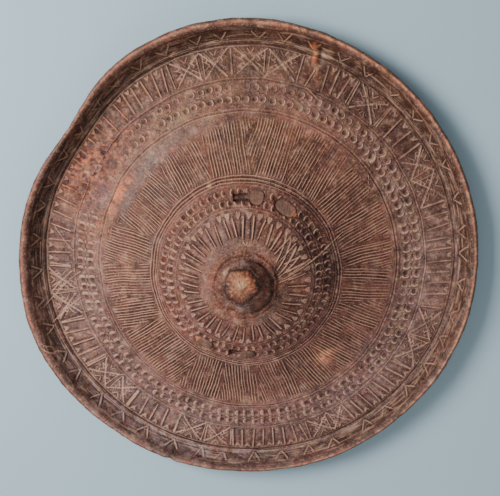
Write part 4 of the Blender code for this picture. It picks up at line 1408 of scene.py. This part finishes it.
class Value:
    """A socket among a material's nodes: arithmetic on it adds Math nodes."""

    def __init__(self, finish, socket):
        self.finish = finish
        self.socket = socket

    def maths(self, operation, first, second):
        """One Math node on two values."""
        return self.finish.node("ShaderNodeMath", {"operation": operation}, {0: first, 1: second})

    def __add__(self, other):
        return self.maths("ADD", self, other)

    __radd__ = __add__

    def __sub__(self, other):
        return self.maths("SUBTRACT", self, other)

    def __rsub__(self, other):
        return self.maths("SUBTRACT", other, self)

    def __mul__(self, other):
        return self.maths("MULTIPLY", self, other)

    __rmul__ = __mul__

    def __pow__(self, other):
        return self.maths("POWER", self, other)

    def size(self):
        """The value without its sign."""
        return self.maths("ABSOLUTE", self, 0.0)

    def part(self):
        """What is left of the value above the next lower whole number."""
        return self.maths("FRACT", self, 0.0)

    def falloff(self, width):
        """exp(-(value / width)^2)."""
        scaled = self * (1.0 / width)
        return self.maths("EXPONENT", scaled * scaled * -1.0, 0.0)


class Finish:
    """A material and its nodes."""

    def __init__(self, name):
        self.material = bpy.data.materials.new(name)
        self.material.use_nodes = True
        self.tree = self.material.node_tree
        self.shader = self.tree.nodes["Principled BSDF"]
        self.place = self.node("ShaderNodeTexCoord", {}, {}, "Object")

    def node(self, kind, settings, inputs, output=0):
        """Adds a node, sets its settings, feeds its sockets and returns one of its outputs, or all."""
        node = self.tree.nodes.new(kind)
        for name, value in settings.items():
            setattr(node, name, value)
        for name, value in inputs.items():
            self.feed(node.inputs[name], value)
        if output is None:
            return [Value(self, socket) for socket in node.outputs]
        return Value(self, node.outputs[output])

    def feed(self, socket, value):
        """Gives a socket a link, a number or a colour."""
        if isinstance(value, Value):
            self.tree.links.new(value.socket, socket)
        else:
            socket.default_value = value

    def attribute(self, name, output="Fac"):
        """A point attribute of the mesh."""
        return self.node("ShaderNodeAttribute", {"attribute_name": name}, {}, output)

    def parts(self, name):
        """The three numbers of a vector attribute."""
        return self.node("ShaderNodeSeparateXYZ", {}, {0: self.attribute(name, "Vector")}, None)

    def most(self, first, *others):
        """The largest of several values."""
        for other in others:
            first = self.node("ShaderNodeMath", {"operation": "MAXIMUM"}, {0: first, 1: other})
        return first

    def scaled(self, colour, factor):
        """A colour made lighter or darker."""
        return self.node("ShaderNodeVectorMath", {"operation": "SCALE"}, {0: colour, "Scale": factor})

    def noise(self, scale, detail, roughness, place=None):
        """Noise from 0 to 1 on the object's own coordinates, or on others."""
        inputs = {"Vector": place or self.place, "Scale": scale, "Detail": detail, "Roughness": roughness}
        return self.node("ShaderNodeTexNoise", {}, inputs)

    def remap(self, value, low, high, to_low=0.0, to_high=1.0):
        """A value brought from one range to another and kept inside it."""
        inputs = {"Value": value, "From Min": low, "From Max": high, "To Min": to_low, "To Max": to_high}
        return self.node("ShaderNodeMapRange", {"interpolation_type": "SMOOTHSTEP"}, inputs)

    def mix(self, share, first, second):
        """Mixes two colours."""
        first = first if isinstance(first, Value) else (*first, 1.0)
        second = second if isinstance(second, Value) else (*second, 1.0)
        return self.node("ShaderNodeMix", {"data_type": "RGBA"}, {"Factor": share, 6: first, 7: second}, 2)

    def coats(self, colour, rows):
        """Lays colours over another one: each row has a value, its range, the largest share and a colour."""
        for value, low, high, share, coat in rows:
            colour = self.mix(self.remap(value, low, high) * share, colour, coat)
        return colour

    def stretched(self, scale):
        """The object's coordinates scaled unevenly."""
        return self.node("ShaderNodeMapping", {}, {"Vector": self.place, "Scale": scale})

    def varied(self, colour, scale, amount):
        """A colour with each of its channels varied by noise of its own."""
        inputs = {"Vector": self.place, "Scale": scale, "Detail": 8.0, "Roughness": 0.75}
        change = self.node("ShaderNodeTexNoise", {}, inputs, "Color")
        low = (1.0 - 0.5 * amount,) * 3
        inputs = {0: change, 1: (amount,) * 3, 2: low}
        factor = self.node("ShaderNodeVectorMath", {"operation": "MULTIPLY_ADD"}, inputs)
        return self.node("ShaderNodeVectorMath", {"operation": "MULTIPLY"}, {0: colour, 1: factor})

    def moved(self, offset):
        """The object's coordinates moved, for a noise of its own."""
        return self.node("ShaderNodeMapping", {}, {"Vector": self.place, "Location": offset})

    def relief(self, *rows):
        """Bumps laid over one another: each row has a height field and the height that 1 in it stands for."""
        normal = None
        for height, distance in rows:
            inputs = {"Height": height, "Distance": distance, "Strength": 1.0}
            if normal is not None:
                inputs["Normal"] = normal
            normal = self.node("ShaderNodeBump", {}, inputs)
        return normal

    def end(self, colour, roughness, normal, specular):
        """Feeds the shader."""
        self.feed(self.shader.inputs["Base Color"], colour)
        self.feed(self.shader.inputs["Roughness"], roughness)
        self.feed(self.shader.inputs["Normal"], normal)
        self.shader.inputs["Specular IOR Level"].default_value = specular
        return self.material


def line_marks(finish):
    """Masks of the carved strokes: their crests, and cuts with the grooves beside the crests."""
    crest = cut = 0.0
    for distance, strength in zip(finish.parts("line_distance"), finish.parts("line_strength")):
        line = distance.falloff(0.85) * strength
        side = (distance.size() - GROOVE_PLACE).falloff(0.8) * strength.size() * 0.85
        crest = finish.most(crest, line)
        cut = finish.most(cut, 0.0 - line, side)
    return crest, cut


def flute_marks(finish):
    """Masks of the fine flutes and of the gaps between them, from the place in steps."""
    offset = ((finish.attribute("flute_place").part() - 0.5) * FLUTE_STEP).size()
    strength = finish.attribute("fluting")
    return offset.falloff(FLUTE_WIDTH) * strength, finish.remap(offset, 0.0005, 0.0011) * strength


def crescent_marks(finish, cosine, sine):
    """Masks of the crescents: the raised half, the pocket behind it and the hollow beyond it.

    The raised half is full at the lower left of the shield and painted pale there, painted light on the side
    that faces the light; elsewhere only its edge stands out. The dark of the hollow beyond it is partly
    painted shade.
    """
    along, across, strength = finish.parts("stamp")
    distance = (along * along + across * across) ** 0.5
    facing = finish.remap(along, -0.05, 0.75) * strength
    moon = finish.remap(distance, 1.15, 0.85) * finish.remap(along, -0.15, 0.35) * strength
    # Painted light: the whole raised half shows only towards the lower left, where the light falls
    full = finish.remap(cosine + sine, 0.2, -0.9, 0.10, 0.50)
    edge = finish.most((distance - 0.88).falloff(0.27) * facing, moon * full)
    behind = along + 0.50
    pocket = finish.remap((behind * behind + across * across) ** 0.5, 0.85, 0.30) * strength
    return edge, pocket, (distance - 1.42).falloff(0.22) * facing


def ring_marks(finish, ring, cosine):
    """Height of the lines round the shield, and masks of the raised and cut ones, fainter on the right."""
    height = raised = cut = 0.0
    keep = finish.remap(cosine, 0.9, -0.3, 0.45, 1.0)
    for radius, width, depth, share in RING_LINES:
        line = (ring - radius).falloff(width)
        height = line * depth + height
        if depth > 0.0:
            raised = finish.most(raised, line * share)
        else:
            cut = finish.most(cut, line * share)
    return height, raised * keep, cut * keep


def wall_streaks(finish, cosine, sine, ring):
    """Thin scratches along the wall: noise long around the ring and short across it, and a wall mask."""
    place = finish.node("ShaderNodeCombineXYZ", {}, {0: cosine, 1: sine, 2: ring * 70.0})
    on_wall = finish.remap(ring, 0.2300, 0.2335) * finish.remap(ring, 0.2475, 0.2455)
    return finish.noise(9.0, 4.0, 0.6, place), on_wall


def hide_finish(colours):
    """Old waxed hide: painted zones, mottling, pale ridges and dark recesses that are partly wear and old wax
    and partly painted highlight and shade of the fine relief, grain and small pits.
    """
    finish = Finish("carved_hide")
    cosine, sine, ring = finish.parts("around")
    crest, cut = line_marks(finish)
    flute, gap = flute_marks(finish)
    edge, pocket, beyond = crescent_marks(finish, cosine, sine)
    rings, raised, sunk = ring_marks(finish, ring, cosine)
    streak, on_wall = wall_streaks(finish, cosine, sine, ring)
    broad = finish.noise(22.0, 6.0, 0.65)
    tint = finish.noise(34.0, 5.0, 0.6, finish.moved((3.0, 7.0, 1.0)))
    blotch = finish.noise(95.0, 5.0, 0.65)
    speck = finish.noise(430.0, 3.0, 0.65)
    grain = finish.noise(1100.0, 2.0, 0.5)
    paint = finish.varied(finish.attribute("paint", "Color"), 110.0, 1.1)
    light = finish.mix(0.65, finish.scaled(paint, 3.1), colours.worn_and_highlit_colour)
    dark = finish.mix(0.40, finish.scaled(paint, 0.24), colours.recess_wax_and_shade_colour)
    # Painted sheen: a greyish blue tint in noise patches stands in for the pale sky's sheen on the waxed hide
    cool_sheen = finish.mix(0.6, paint, colours.cool_sheen_colour)
    warm = finish.mix(0.5, paint, colours.warm_colour)
    grime = finish.attribute("grime")
    # The carving's crests, flutes and raised edges are painted pale and its grooves, pockets and cut lines
    # dark: partly worn hide and old wax, partly painted highlight and shade standing in for the light on the
    # fine relief
    soiled_and_shaded = finish.most(gap * 0.85, cut * 0.95, pocket * 0.90, beyond * 0.60, sunk, grime)
    rubbed_and_highlit = finish.most(flute * 1.25, crest * 1.1, edge * 1.35, raised, finish.attribute("wear"))
    colour = finish.coats(finish.scaled(paint, 0.62), (
        (broad, 0.38, 0.62, 1.00, finish.scaled(paint, 1.16)),
        (tint, 0.52, 0.72, 0.55, warm),
        (tint, 0.48, 0.30, 0.50, cool_sheen),
        (blotch, 0.50, 0.72, 0.48, light),
        (blotch, 0.48, 0.30, 0.75, dark),
        (speck, 0.54, 0.72, 0.52, light),
        (speck, 0.46, 0.30, 0.75, dark),
        (speck * 0.7 + blotch * 0.3, 0.66, 0.74, 0.70, colours.worn_and_highlit_colour),
        (streak, 0.50, 0.66, on_wall * 0.65, light),
        (soiled_and_shaded * (0.70 + 0.55 * blotch), 0.05, 0.95, 0.88, dark),
        (rubbed_and_highlit * (0.40 + 1.1 * blotch), 0.08, 0.80, 0.90, light),
    ))
    roughness = finish.remap(broad + 0.6 * blotch, 0.55, 1.05, 0.42, 0.60) + 0.10 * speck - 0.06 * rubbed_and_highlit
    height = crest * 0.0010 - cut * 0.0006 + flute * 0.0007 - gap * 0.0002 + rings
    height = height + edge * 0.0012 - pocket * 0.0009 - beyond * 0.0004 + streak * on_wall * 0.0006
    normal = finish.relief((height, 1.0), (blotch, 0.0006), (speck, 0.0006), (grain, 0.00025))
    return finish.end(colour, roughness, normal, 0.38)


def strap_finish(name, base, colours):
    """Plain hide strap: streaks along it, darker creases, worn edges and raw torn ends."""
    finish = Finish(name)
    broad = finish.noise(38.0, 4.0, 0.6)
    fine = finish.noise(360.0, 4.0, 0.6)
    blotch = finish.noise(95.0, 5.0, 0.65)
    streak = finish.noise(120.0, 3.0, 0.6, finish.stretched((1.0, 0.22, 1.0)))
    dark = tuple(0.55 * channel for channel in base)
    pale = tuple(min(1.0, 1.9 * channel) for channel in base)
    colour = finish.varied(finish.mix(finish.remap(broad, 0.32, 0.68), dark, base), 160.0, 1.2)
    colour = finish.coats(colour, (
        (streak, 0.50, 0.80, 0.50, pale),
        (blotch, 0.50, 0.70, 0.60, pale),
        (blotch, 0.48, 0.32, 0.70, dark),
        (fine, 0.48, 0.32, 0.80, dark),
        (finish.attribute("wear") * (0.6 + 0.8 * fine), 0.20, 0.95, 0.75, pale),
    ))
    colour = finish.mix(finish.attribute("grime") * 0.85, colour, colours.recess_wax_and_shade_colour)
    torn = finish.remap(finish.attribute("torn") * (0.5 + fine), 0.25, 0.75)
    colour = finish.mix(torn, colour, colours.torn_colour)
    roughness = finish.remap(broad, 0.3, 0.7, 0.52, 0.72) + 0.08 * fine
    normal = finish.relief((streak, 0.0006), (blotch, 0.0012), (fine, 0.0009))
    return finish.end(colour, roughness, normal, 0.4)


def floor_finish(colour):
    """A matt pale surface with very faint variation."""
    finish = Finish("pale_floor")
    drift = finish.noise(1.3, 2.0, 0.5)
    darker = tuple(0.95 * channel for channel in colour)
    normal = finish.relief((finish.noise(700.0, 2.0, 0.5), 0.00005))
    tone = finish.mix(drift, darker, tuple(colour))
    return finish.end(tone, 0.85 + 0.05 * drift, normal, 0.2)


def length_setting(name, description, default):
    """A length in metres."""
    return FloatProperty(name=name, description=description, default=default, unit="LENGTH", precision=5)


def number_setting(name, description, default, highest=100.0):
    """A plain number from 0 up."""
    return FloatProperty(name=name, description=description, default=default, min=0, max=highest)


def colour_setting(name, description, default):
    """A colour."""
    limits = {"subtype": "COLOR", "min": 0, "max": 1}
    return FloatVectorProperty(name=name, description=description, default=default, **limits)


class HideSizes(bpy.types.PropertyGroup):
    """How deep the hide's carving and damage are."""

    stroke_height: length_setting("Stroke height", "How far a carved stroke stands out", 0.0009)
    groove_depth: length_setting("Groove depth", "How deep the grooves beside a stroke are", 0.0006)
    crescent_height: length_setting("Crescent edge", "How far a crescent's edge stands out", 0.0007)
    crescent_depth: length_setting("Crescent depth", "How deep a crescent's pocket is", 0.0011)
    flute_height: length_setting("Flute height", "How far a fine flute stands out", 0.0006)
    wrinkle_depth: length_setting("Wrinkle depth", "How rough the damaged part of the rim is", 0.0016)
    dent_share: number_setting("Dents", "How much of the dents is kept", 1.0, 2.0)


class ShieldColours(bpy.types.PropertyGroup):
    """Colours of the hide, the straps and the floor."""

    # Dark of the recesses: old wax, and also painted shade in the carving's grooves
    recess_wax_and_shade_colour: colour_setting("Recesses", "Dark old wax in the recesses", (0.036, 0.0095, 0.0055))
    # Pale of the ridges: rubbed hide, and also painted highlight on the carving's crests
    worn_and_highlit_colour: colour_setting("Worn ridges", "Pale rubbed hide", (0.600, 0.385, 0.265))
    # Painted sheen: this greyish tint, laid in patches, stands in for the sky's sheen on the waxed hide
    cool_sheen_colour: colour_setting("Cool tint", "Greyish wax that shows in patches", (0.150, 0.100, 0.098))
    warm_colour: colour_setting("Warm tint", "Reddish wax that shows in patches", (0.270, 0.085, 0.042))
    grip_colour: colour_setting("Grip", "Plain strap of the grip", (0.165, 0.092, 0.056))
    thong_colour: colour_setting("Thongs", "Thongs that hold the grip", (0.215, 0.108, 0.076))
    torn_colour: colour_setting("Torn ends", "Raw hide at torn ends", (0.470, 0.185, 0.090))
    floor_colour: colour_setting("Floor", "Pale surface under the shield", (0.440, 0.600, 0.690))


class StageSizes(bpy.types.PropertyGroup):
    """The floor and the lights."""

    floor_size: length_setting("Floor size", "Side of the square floor", 24.0)
    key_power: number_setting("Key light", "Power of the main light in watts", 27.0)
    fill_power: number_setting("Fill light", "Power of the fill light in watts", 6.0)
    sky_strength: number_setting("Sky", "Strength of the even light around", 0.30)


class HIDE_SHIELD_OT_make_hide(bpy.types.Operator):
    """Build the carved hide"""

    bl_idname = "hide_shield.make_hide"
    bl_label = "Make hide"

    def execute(self, context):
        colours = PlainColours(context.scene.hide_shield_colours)
        piece = make_hide_skin(context.scene.hide_shield_sizes)
        piece.data.materials.append(hide_finish(colours))
        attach(piece, "root")
        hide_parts("hide_body")
        return {"FINISHED"}


class HIDE_SHIELD_OT_make_thongs(bpy.types.Operator):
    """Build the four thongs that lace the grip to the hide"""

    bl_idname = "hide_shield.make_thongs"
    bl_label = "Make thongs"

    def execute(self, context):
        colours = PlainColours(context.scene.hide_shield_colours)
        material = strap_finish("thong_hide", colours.thong_colour, colours)
        for name, *sizes in THONGS:
            piece = make_thong(name.replace("thong", "lace"), *sizes)
            piece.data.materials.append(material)
            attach(piece, "root")
            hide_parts(name)
        return {"FINISHED"}


class HIDE_SHIELD_OT_make_grip(bpy.types.Operator):
    """Build the strap grip behind the dome"""

    bl_idname = "hide_shield.make_grip"
    bl_label = "Make grip"

    def execute(self, context):
        colours = PlainColours(context.scene.hide_shield_colours)
        piece = make_grip_strap()
        piece.data.materials.append(strap_finish("grip_hide", colours.grip_colour, colours))
        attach(piece, "root")
        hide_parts("grip")
        return {"FINISHED"}


class PlainColours:
    """The colour settings as plain tuples."""

    def __init__(self, colours):
        for name in ShieldColours.__annotations__:
            setattr(self, name, tuple(getattr(colours, name)))


def aim(place, target):
    """A matrix at a place whose -Z looks at a target, with +Y of the picture towards +Y."""
    back = (place - target).normalized()
    right = Vector((0.0, 1.0, 0.0)).cross(back).normalized()
    up = back.cross(right)
    matrix = Matrix((right, up, back)).transposed().to_4x4()
    matrix.translation = place
    return matrix


def add_area_light(name, place, size, power, colour):
    """A square soft light that shines on the shield's middle."""
    light = bpy.data.lights.new(name, "AREA")
    light.shape = "SQUARE"
    light.size = size
    light.energy = power
    light.color = colour
    lamp = bpy.data.objects.new(name, light)
    bpy.context.scene.collection.objects.link(lamp)
    lamp.matrix_world = aim(Vector(place), Vector())


class HIDE_SHIELD_OT_make_stage(bpy.types.Operator):
    """Build the floor, the lights and the camera"""

    bl_idname = "hide_shield.make_stage"
    bl_label = "Make stage"

    def execute(self, context):
        sizes = context.scene.hide_shield_stage
        colours = PlainColours(context.scene.hide_shield_colours)
        half = sizes.floor_size / 2.0
        places = np.linspace(-half, half, FLOOR_POINTS)
        x, y = np.meshgrid(places, places)
        points = np.stack([x.ravel(), y.ravel(), np.full(x.size, -FLOOR_DEPTH)], axis=1)
        grid = np.arange(x.size).reshape(x.shape)
        corners = (grid[:-1, :-1], grid[:-1, 1:], grid[1:, 1:], grid[1:, :-1])
        faces = np.stack(corners, axis=-1).reshape(-1, 4)
        floor = new_piece("floor", points, faces.tolist(), {})
        floor.data.materials.append(floor_finish(colours.floor_colour))
        for name, place, side, colour in LIGHTS:
            add_area_light(name, place, side, getattr(sizes, name + "_power"), colour)
        world = bpy.data.worlds.new("pale_sky")
        world.use_nodes = True
        sky = world.node_tree.nodes["Background"]
        sky.inputs["Color"].default_value = SKY_COLOUR
        sky.inputs["Strength"].default_value = sizes.sky_strength
        context.scene.world = world
        tilt = [math.tan(math.radians(angle)) for angle in CAMERA_TILT]
        direction = Vector((tilt[0], tilt[1], 1.0)).normalized()
        data = bpy.data.cameras.new("camera")
        data.sensor_fit = "HORIZONTAL"
        data.sensor_width = SENSOR_WIDTH
        data.lens = CAMERA_LENS
        camera = bpy.data.objects.new("camera", data)
        context.scene.collection.objects.link(camera)
        camera.matrix_world = aim(CAMERA_TARGET + direction * CAMERA_DISTANCE, CAMERA_TARGET)
        context.scene.camera = camera
        return {"FINISHED"}


class HIDE_SHIELD_PT_panel(bpy.types.Panel):
    """Lists the shield's settings and steps"""

    bl_label = "Hide shield"
    bl_idname = "HIDE_SHIELD_PT_panel"
    bl_space_type = "VIEW_3D"
    bl_region_type = "UI"
    bl_category = "Hide shield"

    def draw(self, context):
        for name, group in SETTINGS:
            box = self.layout.box()
            for setting in group.__annotations__:
                box.prop(getattr(context.scene, name), setting)
        for operator in OPERATORS:
            self.layout.operator(operator.bl_idname)


SETTINGS = (
    ("hide_shield_sizes", HideSizes),
    ("hide_shield_colours", ShieldColours),
    ("hide_shield_stage", StageSizes),
)
OPERATORS = (
    HIDE_SHIELD_OT_make_hide,
    HIDE_SHIELD_OT_make_thongs,
    HIDE_SHIELD_OT_make_grip,
    HIDE_SHIELD_OT_make_stage,
)


def register():
    """Registers the settings, the steps and the panel."""
    for name, group in SETTINGS:
        bpy.utils.register_class(group)
        setattr(bpy.types.Scene, name, PointerProperty(type=group))
    for operator in OPERATORS:
        bpy.utils.register_class(operator)
    bpy.utils.register_class(HIDE_SHIELD_PT_panel)


def unregister():
    """Takes away what register added."""
    bpy.utils.unregister_class(HIDE_SHIELD_PT_panel)
    for operator in reversed(OPERATORS):
        bpy.utils.unregister_class(operator)
    for name, group in reversed(SETTINGS):
        delattr(bpy.types.Scene, name)
        bpy.utils.unregister_class(group)


def main():
    """Builds the shield and its stage."""
    register()
    bpy.ops.hide_shield.make_hide()
    bpy.ops.hide_shield.make_thongs()
    bpy.ops.hide_shield.make_grip()
    bpy.ops.hide_shield.make_stage()


if __name__ == "__main__":
    main()
